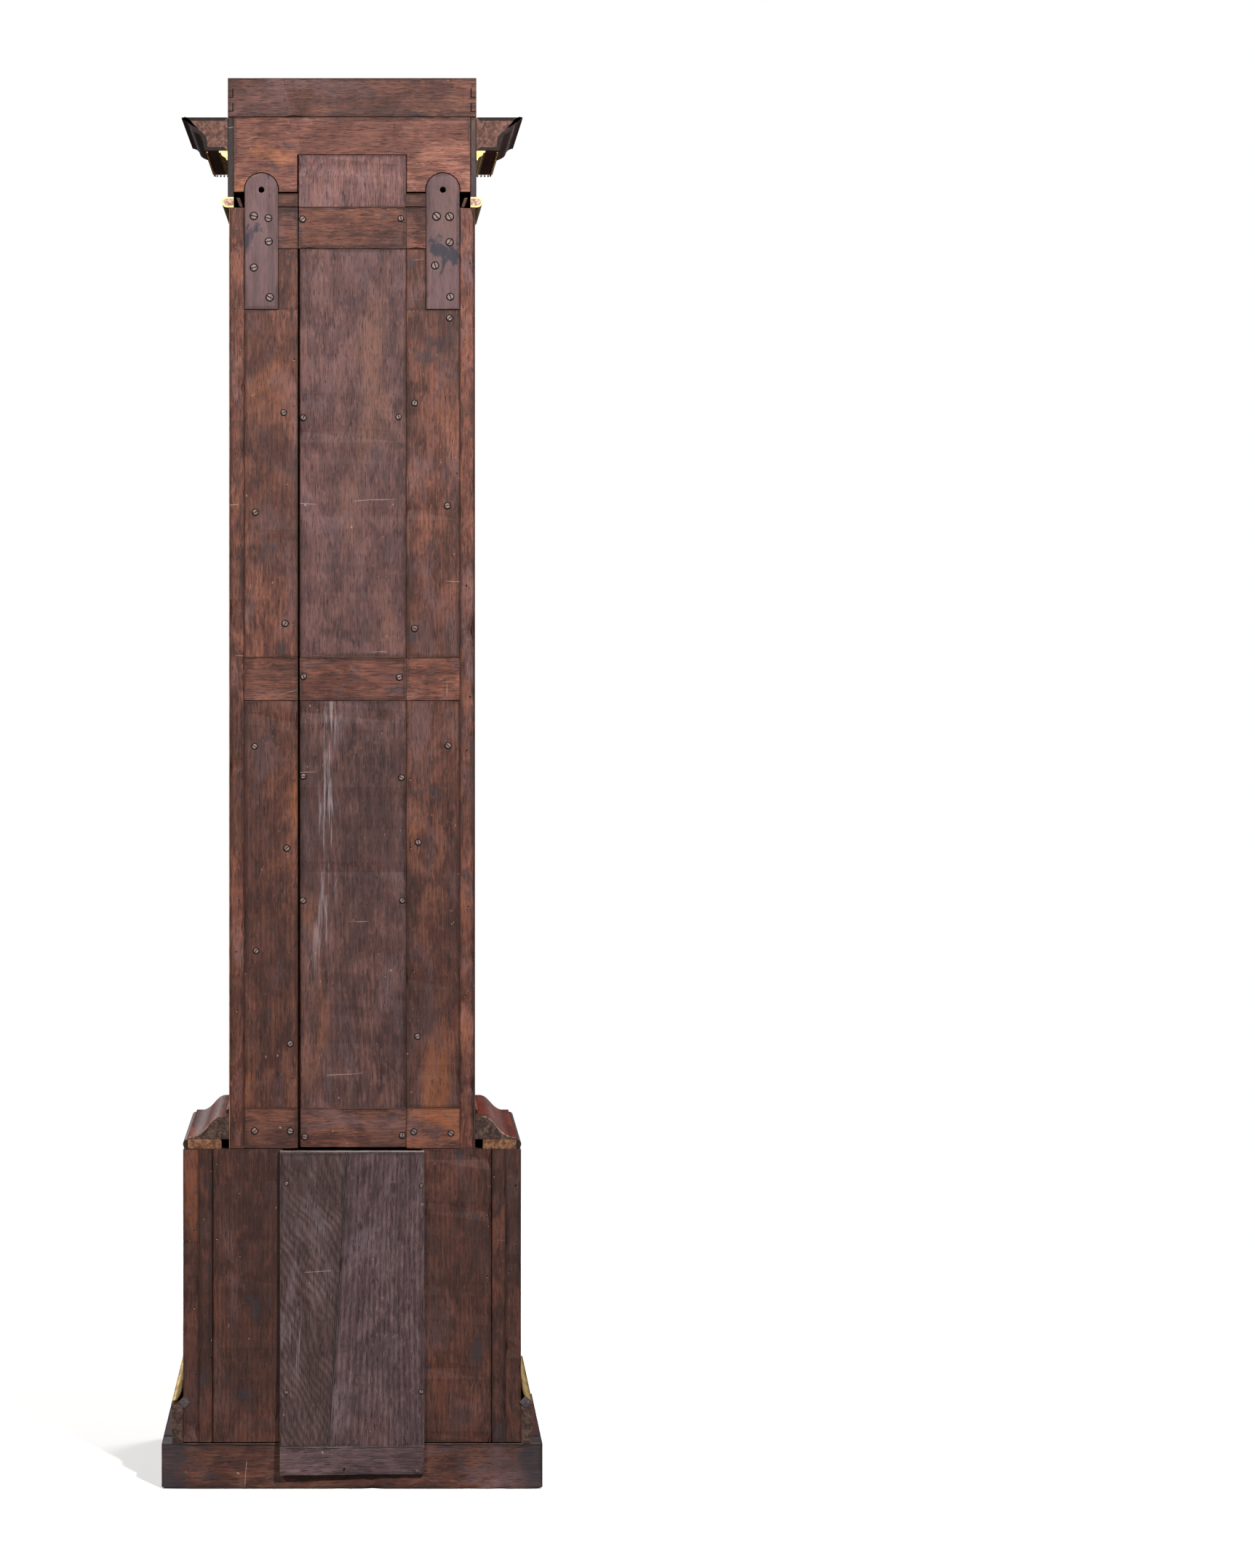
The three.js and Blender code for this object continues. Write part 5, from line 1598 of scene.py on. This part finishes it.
def makePulley():
    x, y, z = span(pulley["x"], pulley["y"], pulley["z"])
    groove = pulley["line"] - 1.25
    rim, half = pulley["rim"], pulley["half"]
    profile = [(2.4, -half), (5.5, -half), (5.8, -half + 0.5), (17.5, -half + 0.5), (18, -half),
               (rim - 0.4, -half), (rim, -half + 0.4), (rim, -half + 0.9)]
    profile += [(groove + 1.2 * (1 - math.cos(math.radians(a))), 1.3 * math.sin(math.radians(a)))
                for a in (-80, -50, -20, 0, 20, 50, 80)]
    profile += [(r, -d) for r, d in reversed(profile[:8])]
    mesh = turned([(r * mm, y + d * mm) for r, d in profile], (x, z), 72)
    fit(show("pulleyWheel", mesh, [metals["oliveBrass"]]), "pulley", "brass", "pulley_wheel")
    leaf = rectangle(x - 0.01, 1.24, x + 0.01, 1.31)
    # the pin drops into a slot filed from one side
    slotHole = [(x - 0.0021, z + 0.0021), (x + 0.0021, z + 0.0021), (x + 0.0022, z - 0.0006),
                (x + 0.0082, z - 0.001), (x + 0.0082, z - 0.0032), (x - 0.0021, z - 0.0026)]
    parts = [plate([leaf], (y - 0.007, y - 0.0052), 0.0003)]
    parts.append(plate([leaf, slotHole], (y + 0.0052, y + 0.007), 0.0003))
    parts.append(bar((x - 0.01, x + 0.01), (y - 0.0052, y + 0.0052), span(1240, 1243.6)))
    fit(show("pulleyStirrup", together(*parts), [metals["oliveBrass"]]), "weight", "brass", "pulley_stirrup")
    pin = wire([(x, y - 0.0085, z), (x, y + 0.0082, z), (x - 0.001, y + 0.0086, z + 0.0006)], 0.0019, 16)
    neck = lathe([(0, 0), (4.2, 0), (3.6, 4), (2.6, 7.5), (2.2, 15.5), (0, 15.5)], 0, 0, 24)
    ring = wire(hoop(x, y, 1.2205, 0.0049, 28), 0.0016, 12, True)
    iron = together(pin, ring, stood(neck, (x, y, 1.2402), -math.pi / 2))
    fit(show("stirrupSwivel", iron, [metals["blackIron"]]), "weight", "steel", "pulley_stirrup")


guides = {"x": 25.2, "rearY": 81.0, "frontY": 19.0, "z": 1989.0, "radius": 11.0}


def makeGuides():
    x, z, radius = guides["x"] * mm, guides["z"] * mm, guides["radius"]
    for name, depth in (("rear", guides["rearY"]), ("front", guides["frontY"])):
        face = [(1.9, -3.1), (radius + 0.6, -3.1), (radius + 1, -2.6), (radius - 1.2, -1)]
        profile = face + [(radius - 1.3, 0)] + [(r, -d) for r, d in reversed(face)]
        mesh = stood(lathe(profile, 0, 0, 48), (x, depth * mm, z), axis="Z")
        fit(show(f"guideWheel{name.title()}", mesh, [metals["castBrass"]]), f"guide_{name}", "brass",
            f"guide_wheel_{name}")
    for node in ("wheel_bracket", "line_tie_off"):
        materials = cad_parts[node].data.materials
        materials.clear()
        materials.append(metals["dullSteel"])


def makeGutLine():
    radius = 0.001
    px, py, pz, reach = span(pulley["x"], pulley["y"], pulley["z"], pulley["line"])
    gx, gz, gr = span(guides["x"], guides["z"], guides["radius"])
    tied = 1.9566
    falls = [(px - reach, py, tied - (tied - pz) * i / 60) for i in range(60)]
    falls += [(px - reach * math.cos(a), py, pz - reach * math.sin(a)) for a in
              [math.pi * k / 28 for k in range(29)]]
    falls += [(px + reach, py, pz + (gz - pz) * i / 60) for i in range(1, 61)]
    mesh = wire(falls, radius, 8)
    piece = show("gutFalls", mesh, [naturalGut])
    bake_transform(piece)
    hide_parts("gut_line")
    over = [(gx, guides["rearY"] * mm + gr * math.cos(a), gz + gr * math.sin(a)) for a in
            [math.pi / 2 * k / 8 for k in range(9)]]
    over += [(gx, guides["frontY"] * mm + gr * math.cos(a), gz + gr * math.sin(a)) for a in
             [math.pi / 2 + math.pi / 2 * k / 8 for k in range(9)]]
    turns, winding = 2.5, 1.704
    fallFront = (guides["frontY"] - guides["radius"]) * mm
    for i in range(int(32 * turns) + 1):
        angle = -math.tau * i / 32
        depth = fallFront - 0.006 * i / (32 * turns)
        over.append((gx * math.cos(angle), depth, winding + gx * math.sin(angle)))
    fit(show("gutOverGuides", wire(over, radius, 8), [naturalGut]), "case", "gut", "gut_line")
    # its end hangs in a loop over the tie-off and runs up to the wheel's pin
    loop = []
    for k in range(19):
        a = math.tau * k / 20
        height = tied + 0.0044 - 0.004 * math.cos(a)
        loop.append((px - reach + 0.0028 * math.sin(a), py + 0.0009 * math.sin(a), height))
    tail = [span(*place) for place in (
        (-18.5, 91.5, 1964.5), (-8, 90, 1970.2), (3, 87.8, 1975.7), (12.8, 85.5, 1980),
        (15.1, 84.8, 1984.2), (15.8, 83.2, 1986.2))]
    fit(show("gutKnot", wire(loop + tail, radius, 8), [naturalGut]), "case", "gut")


makeLeadWeight()
makeHook()
makePulley()
makeGuides()
makeGutLine()
print("weight and line built")


# front: frame, doors, glass and fittings

doors = {
    "front": -49.0, "thick": 18.0, "gap": 1.3,
    "dial": {"half": 140.5, "z": (1613.5, 1894.5), "hinge": 139.6},
    "trunk": {"half": 120.5, "z": (640.0, 1550.0), "hinge": 119.6},
    "dialCentre": 1754.0, "dialGlass": 112.0, "sight": (84.0, 676.0, 1514.0),
}


def makeFrontFrame():
    timber = Joinery(180)
    y = span(doors["front"], doors["front"] + doors["thick"])
    dial, door = doors["dial"], doors["trunk"]
    half = trunk["half"]
    low, high = trunk["bottom"], trunk["top"]
    between = (door["z"][1], dial["z"][0])
    for side in (1, -1):
        timber.board(oneSide(side, door["half"], half), y, span(low, dial["z"][0]), "z", 0, 0.5)
        timber.board(oneSide(side, dial["half"], half), y, span(dial["z"][0] + 0.1, high), "z", 0, 0.5)
    inner = door["half"] - 0.1
    timber.board(span(-inner, inner), y, span(low, door["z"][0]), "x", 0, 0.5)
    timber.board(span(-inner, inner), y, span(*between), "x", 0.1, 0.5)
    inner = dial["half"] - 0.1
    timber.board(span(-inner, inner), y, span(dial["z"][1], high), "x", 0.1, 0.5)
    fit(timber.build("frontFrame", [woods["mahogany"]]), "case", "mahogany", "trunk_front_frame")
    cap = Joinery(184)
    profile = [(0.0003, 1.897), (0.003, 1.897)]
    profile += bezier((3, 1897), (4, 1915), (14, 1928), (30.7, 1929), 10)
    profile += line((30.7, 1938), (0.3, 1938))
    mark = (5.0, 0.0, 0.4)
    for x in (-half * mm, half * mm):
        for out, z in profile:
            cap.addPoint((x, doors["front"] * mm - out, z), (z - 1.92, x, out), (1, 1, 1), mark)
    count = len(profile)
    for i in range(count):
        after = (i + 1) % count
        cap.addFace((i, after, after + count, i + count), 0)
    cap.addFace(tuple(range(count)), 0)
    cap.addFace(tuple(range(count, 2 * count)), 0)
    fit(cap.build("trunkCap", [woods["mahogany"]]), "case", "mahogany", "trunk_cap")


def makeDoors():
    y = span(doors["front"], doors["front"] + doors["thick"])
    gap = doors["gap"]
    dial, door = doors["dial"], doors["trunk"]
    centre = doors["dialCentre"]
    inset = dial["half"] - gap
    outline = rectangle(*span(-inset, dial["z"][0] + gap, inset, dial["z"][1] - gap))
    mesh = plate([outline, arc(0, centre, doors["dialGlass"], 360, 3.75, 95)], y, 0.0012, 2)
    placeGrain(mesh, "z", 21.0, 0.1, 0.5)
    fit(show("dialDoor", mesh, [woods["mahogany"]]), "dial_door", "mahogany", "dial_door_frame")
    bezel = [(112.5, -49.2), (118, -49.2), (118.4, -50.4), (116.5, -51.8), (113.5, -52.4), (110.6, -51.4),
             (109.6, -49.4), (109.6, -41.6), (111.6, -41.6), (111.8, -49.0)]
    fit(show("dialBezel", lathe(bezel, 0, centre, 128), [metals["castBrass"]]), "dial_door", "brass")
    half, low, high = doors["sight"]
    timber = Joinery(190)
    edge = door["half"] - gap
    z0, z1 = door["z"][0] + gap, door["z"][1] - gap
    for side in (1, -1):
        timber.board(oneSide(side, half + 0.3, edge), y, span(z0, z1), "z", 0.05, 0.6, arris=0.0012)
    timber.board(span(-half - 0.2, half + 0.2), y, span(z0, low - 0.3), "x", 0.1, 0.5, arris=0.0012)
    timber.board(span(-half - 0.2, half + 0.2), y, span(high + 0.3, z1), "x", 0.1, 0.5, arris=0.0012)
    # a cock bead round the sight hole
    bead = 4.0
    for side in (1, -1):
        timber.board(oneSide(side, half - bead, half), span(-51.5, -41.6), span(low, high), "z", 0.3, 0.2,
                     arris=0.0016)
    for bottom in (low, high - bead):
        timber.board(span(-half + bead, half - bead), span(-51.5, -41.6), span(bottom, bottom + bead), "x",
                     0.3, 0.2, arris=0.0016)
    fit(timber.build("trunkDoor", [woods["mahogany"]]), "trunk_door", "mahogany", "trunk_door_frame")
    pane = bar(span(-half + 0.4, half - 0.4), span(-41, -38), span(low + 0.4, high - 0.4), 0.0002)
    fit(show("trunkGlass", pane, [clearGlass]), "trunk_door", "glass", "trunk_door_glass")
    lens = rod(0, centre, 111.5, -41, -38, 96)
    fit(show("dialGlass", lens, [clearGlass]), "dial_door", "glass", "dial_door_glass")


def makeFittings():
    dial, door = doors["dial"], doors["trunk"]
    for name, body, hinge, heights in (
            ("dialHinges", "dial_door", dial["hinge"], (1660, 1848)),
            ("trunkHinges", "trunk_door", door["hinge"], (720, 1095, 1470))):
        parts = []
        for z in heights:
            # the knuckle turns about its own axis, half sunk between door and frame
            knuckle = lathe([(0, 0), (1.8, 0), (2.3, 0.6), (2.3, 33.4), (1.8, 34), (0, 34)], 0, 0, 20)
            parts.append(stood(knuckle, span(hinge, -50, z - 17)))
            leaf = span(hinge - 11, hinge - 1.6)
            parts.append(bar(leaf, span(-49.8, -49.05), span(z - 17, z + 17), 0.0002))
        fit(show(name, together(*parts), [metals["castBrass"]]), body, "brass")
    keyholes = (("dialKeyhole", "dial_door", -130.5, 1754), ("trunkKeyhole", "trunk_door", -102, 1095))
    for name, body, x, z in keyholes:
        points = []
        for k in range(48):
            a = math.tau * k / 48
            out = 7.5 * math.cos(a) * (1 + 0.12 * math.cos(4 * a))
            points.append(span(x + out, z + 14 * math.sin(a) * (1 + 0.1 * math.cos(4 * a))))
        key = arc(x, z + 3, 2.3, 215, -35, 12) + line((x + 1.2, z - 6), (x - 1.2, z - 6))
        mesh = plate([points, key[::-1]], span(-50.3, -49.1), 0.0003)
        fit(show(name, mesh, [metals["castBrass"]]), body, "brass")


makeFrontFrame()
makeDoors()
makeFittings()
print("doors built")


# dial, hands, movement and pendulum

dialLook = {
    "half": 148.0, "centre": 1754.0, "y": (-28.0, -26.0), "minuteRing": 98.0, "hourText": 76.0,
    "seconds": 1806.0, "secondsRing": 21.0, "winding": 1704.0, "hourSize": 0.02,
    "minuteSize": 0.0062, "line": 0.2,
    "numerals": ["XII", "I", "II", "III", "IIII", "V", "VI", "VII", "VIII", "IX", "X", "XI"],
}


def dialText(word, size, angle, radius):
    curve = bpy.data.curves.new("numeral", "FONT")
    curve.body = word
    curve.size = size
    curve.extrude = 0.00012
    curve.align_x = "CENTER"
    curve.align_y = "CENTER"
    curve.space_character = 1.08
    curve.offset = size * 0.012
    mesh = fromCurve(curve)
    stand = Matrix.Rotation(math.pi / 2, 4, "X")
    lift = Matrix.Translation((0, dialLook["y"][0] * mm - 0.0001, radius * mm))
    turn = Matrix.Rotation(math.radians(angle), 4, "Y")
    mesh.transform(Matrix.Translation((0, 0, dialLook["centre"] * mm)) @ turn @ lift @ stand)
    return tidy(mesh, 1e-7)


def dialRing(centre, radius, count, long, short, wide, every):
    points, numbers = [], {"turn": [], "tall": [], "wide": []}
    for i in range(count):
        angle = math.tau * i / count
        tall = long if i % every == 0 else short
        middle = (radius - tall / 2) * mm
        height = centre * mm + middle * math.cos(angle)
        points.append((middle * math.sin(angle), dialLook["y"][0] * mm, height))
        numbers["turn"].append(angle)
        numbers["tall"].append(tall * mm)
        numbers["wide"].append((wide * 1.8 if i % every == 0 else wide) * mm)
    return points, numbers


def makeDial():
    half, centre = dialLook["half"], dialLook["centre"]
    y = span(*dialLook["y"])
    holes = [arc(0, z, r, 360, 12, 29) for z, r in (
        (centre, 6.5), (dialLook["winding"], 5.5), (dialLook["seconds"], 3.0))]
    mesh = plate([rectangle(*span(-half, centre - half, half, centre + half)), *holes], y, 0.0003)
    fit(show("dialPlate", mesh, [metals["silveredBrass"]]), "case", "silvered", "dial_plate")
    marks = []
    for name, ring in (
            ("minuteTicks", dialRing(centre, dialLook["minuteRing"], 60, 6.0, 4.2, 0.5, 5)),
            ("secondTicks", dialRing(dialLook["seconds"], dialLook["secondsRing"], 60, 4.0, 2.2, 0.25, 5))):
        marks.append(grow(name, ticks, ring[0], {"Raised": 0.0003, "Material": dialInk}, ring[1]))
    parts = []
    for i, word in enumerate(dialLook["numerals"]):
        parts.append(dialText(word, dialLook["hourSize"], 30 * i, dialLook["hourText"]))
    for i in range(12):
        minutes = str(5 * i or 60)
        parts.append(dialText(minutes, dialLook["minuteSize"], 30 * i, dialLook["minuteRing"] + 5.5))
    rings = [(radius, centre) for radius in (98.4, 93.4, 92.0, 58.0)]
    rings += [(radius, dialLook["seconds"]) for radius in (21.4, 18.6)]
    for radius, z in rings:
        low, high = radius - dialLook["line"], radius + dialLook["line"]
        parts.append(lathe([(low, -28.15), (high, -28.15), (high, -27.95), (low, -27.95)], 0, z, 96))
    fit(show("dialNumerals", together(*parts), [dialInk]), "case", "silvered")
    for piece in marks:
        fit(piece, "case", "silvered")
    collet = lathe(
        [(5.6, -28.4), (7.4, -28.4), (7.8, -28.1), (7.8, -27.9), (5.6, -27.9)], 0, dialLook["winding"], 40)
    fit(show("windingCollet", collet, [metals["castBrass"]]), "case", "brass")


def makeHands():
    centre = dialLook["centre"]
    looks = (
        ("minuteHand", "centre", "minute_hand", 103.0, 22.0, 1.5, 6.0, (-35.0, -33.6), centre, 48.0),
        ("hourHand", "motion", "hour_hand", 71.0, 12.0, 2.2, 7.6, (-31.8, -30.6), centre, 304.0),
        ("secondsHand", "escape", "seconds_hand", 21.5, 8.5, 0.6, 2.4, (-29.9, -29.1),
         dialLook["seconds"], 0.0))
    for name, body, node, length, tail, slim, boss, y, z, angle in looks:
        blade = [(-slim, -tail), (slim, -tail), (slim * 0.8, length * 0.55)]
        swell = [(slim * 0.8 + slim * 2.0 * math.sin(math.pi * t), length * (0.55 + 0.27 * t))
                 for t in (0.2, 0.35, 0.5, 0.65, 0.8)]
        tip = [(slim * 0.6, length * 0.84), (0, length), (-slim * 0.6, length * 0.84)]
        outline = blade + swell + tip + [(-px, pz) for px, pz in reversed(swell)]
        outline.append((-slim * 0.8, length * 0.55))
        near, far = y
        dome = [(0, near - 0.1), (boss * 0.8, near - 0.1), (boss, near + 0.2), (boss, far), (0, far)]
        mesh = together(plate([line(*outline)], span(near, far), 0.00015), lathe(dome, 0, 0, 36))
        stood(mesh, (0, 0, z * mm), math.radians(angle), "Y")
        nodes = [node] if name != "hourHand" else []
        fit(show(name, mesh, [metals["bluedSteel"]]), body, "blued_steel", *nodes)
        if name == "hourHand":
            pipe = lathe(
                [(2.1, -31.0), (4.5, -31.0), (4.5, -14.5), (22, -14.5), (22, -12.8), (2.1, -12.8)], 0, z, 40)
            fit(show("hourPipe", pipe, [metals["castBrass"]]), body, "brass", node)


movement = {
    # teeth, root radius, tooth height, tooth width, rim, thickness, hub, middle depth, x, z
    "great_wheel": ("greatWheel", 96, 43.6, 2.2, 1.5, 4.5, 2.3, 9.0, -4.35, 0.0, 1704.0),
    "centre_wheel": ("centreWheel", 80, 30.4, 1.6, 1.2, 3.2, 2.0, 6.0, 18.5, 0.0, 1754.0),
    "third_wheel": ("thirdWheel", 75, 24.5, 1.4, 1.0, 2.8, 2.0, 5.0, 3.0, -19.76, 1784.09),
    "escape_wheel": ("escapeWheel", 30, 16.2, 1.8, 0.5, 2.2, 1.5, 3.5, 12.75, 0.0, 1806.0),
}
arbors = {
    "great_wheel": [],
    "centre_wheel": [(1.7, -33.2, -11), (2.6, -11, 21.7), (3.7, -6.5, -2.5)],
    "third_wheel": [(1.5, -6.7, 21.7), (3.7, 17, 20)],
    "escape_wheel": [(1.2, -28.8, 21.7), (3.2, 1.5, 5)],
}


def makeMovement():
    bodies = {
        "great_wheel": "great_wheel", "centre_wheel": "centre", "third_wheel": "third",
        "escape_wheel": "escape"}
    for node, (name, teeth, root, tall, wide, rim, thick, hub, depth, x, z) in movement.items():
        wheel = grow(name, wheels, [(x * mm, depth * mm, z * mm)], {
            "Teeth": teeth, "Root radius": root * mm, "Tooth height": tall * mm, "Tooth width": wide * mm,
            "Rim width": rim * mm, "Thickness": thick * mm, "Arms": 5, "Hub radius": hub * mm,
            "Material": metals["castBrass"]})
        fit(wheel, bodies[node], "brass", node)
        shafts = [rod(x, z, radius, start, end) for radius, start, end in arbors[node]]
        if shafts:
            arbor = show(f"{name}Arbor", together(*shafts), [metals["brightSteel"]])
            fit(arbor, bodies[node], "steel", node)
    finishes = {
        "movement_front_plate": "castBrass", "movement_back_plate": "castBrass", "barrel": "castBrass",
        "pallets": "brightSteel"}
    for node, finish in finishes.items():
        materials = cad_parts[node].data.materials
        materials.clear()
        materials.append(metals[finish])
    low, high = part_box("seatboard")
    seat = Joinery(210)
    seat.board((low.x, high.x), (low.y, high.y), (low.z, high.z), "x", -0.1, 0.3)
    fit(seat.build("seatboard", [woods["oldPine"]]), "case", "pine", "seatboard")


pendulum = {
    "depth": 38.0, "bob": 842.0, "radius": 75.0, "half": 17.0, "rod": 3.5, "foot": 737.0,
    "pivot": 1836.0, "nut": 763.0,
}


def makePendulum():
    y = pendulum["depth"]
    half, radius = pendulum["half"], pendulum["radius"]
    face = [(0, -half), (radius * 0.3, -half + 0.4), (radius * 0.6, -half + 2.4),
            (radius * 0.82, -half + 6.2), (radius * 0.95, -half + 11), (radius - 0.6, -3.2),
            (radius, -2.6)]
    profile = [(r, y + d) for r, d in face] + [(r, y - d) for r, d in reversed(face)]
    mesh = lathe(profile, 0, pendulum["bob"], 96)
    fit(show("pendulumBob", mesh, [metals["castBrass"]]), "pendulum", "brass", "pendulum_bob")
    pivot = pendulum["pivot"]
    stem = wire([span(0, y, pendulum["foot"]), span(0, y, pivot - 6)], pendulum["rod"] * mm, 20)
    spring = bar(span(-6, 6), span(y - 0.4, y + 0.4), span(pivot - 8, pivot + 6.5), 0.0001)
    steel = show("pendulumRod", together(stem, spring), [metals["brightSteel"]])
    fit(steel, "pendulum", "steel", "pendulum_rod")
    nut = lathe([(0, 0), (8.6, 0), (9, 0.6), (9, 11.4), (8.6, 12), (0, 12)], 0, 0, 40)
    stood(nut, span(0, y, pendulum["nut"]), -math.pi / 2)
    fit(show("ratingNut", nut, [metals["castBrass"]]), "pendulum", "brass")


makeDial()
makeHands()
makeMovement()
makePendulum()
print("movement built")


# floor and sky

def makeFloor(look):
    work = bmesh.new()
    bmesh.ops.create_circle(work, cap_ends=True, radius=9, segments=96)
    mesh = bpy.data.meshes.new("floor")
    work.to_mesh(mesh)
    work.free()
    mesh.transform(Matrix.Translation((0, 0, -0.0004)))
    paint = Paint("paleFloor")
    distance = paint.node("ShaderNodeVectorMath", {"operation": "LENGTH"}, [paint.objectPlace()], 1)
    # it is paler to look at than to light the clock by
    seen = paint.node("ShaderNodeLightPath").out("Is Camera Ray")
    colour = paint.blend(seen, tint(look["bounce"]), tint(look["floor"]))
    diffuse = paint.node("ShaderNodeBsdfDiffuse", None, {"Color": colour})
    clear = paint.node("ShaderNodeBsdfTransparent")
    fade = paint.ease(distance, *look["floorFade"])
    mixed = paint.node("ShaderNodeMixShader", None, [fade, diffuse, clear])
    paint.node("ShaderNodeOutputMaterial", None, {"Surface": mixed})
    show("floor", mesh, [paint.material])
    world = bpy.data.worlds.new("sky")
    bpy.context.scene.world = world
    world.use_nodes = True
    sky = NodeTree(world.node_tree)
    sky.tree.nodes.clear()
    # plain white behind, but the light itself comes mostly from above
    seen = sky.node("ShaderNodeLightPath").out("Is Camera Ray")
    low, high = look["sky"]
    upward = sky.node("ShaderNodeSeparateXYZ", None, [sky.node("ShaderNodeTexCoord")]).out("Z")
    above = sky.node("ShaderNodeMapRange", {"interpolation_type": "SMOOTHSTEP"}, {
        "Value": upward, "From Min": -0.1, "From Max": 0.35, "To Min": low, "To Max": high})
    strength = seen.most(above)
    light = sky.node("ShaderNodeBackground", None, {"Color": (1, 1, 1, 1), "Strength": strength})
    sky.node("ShaderNodeOutputWorld", None, {"Surface": light})


makeFloor(studio)
setStudio(studio)
print("studio set")
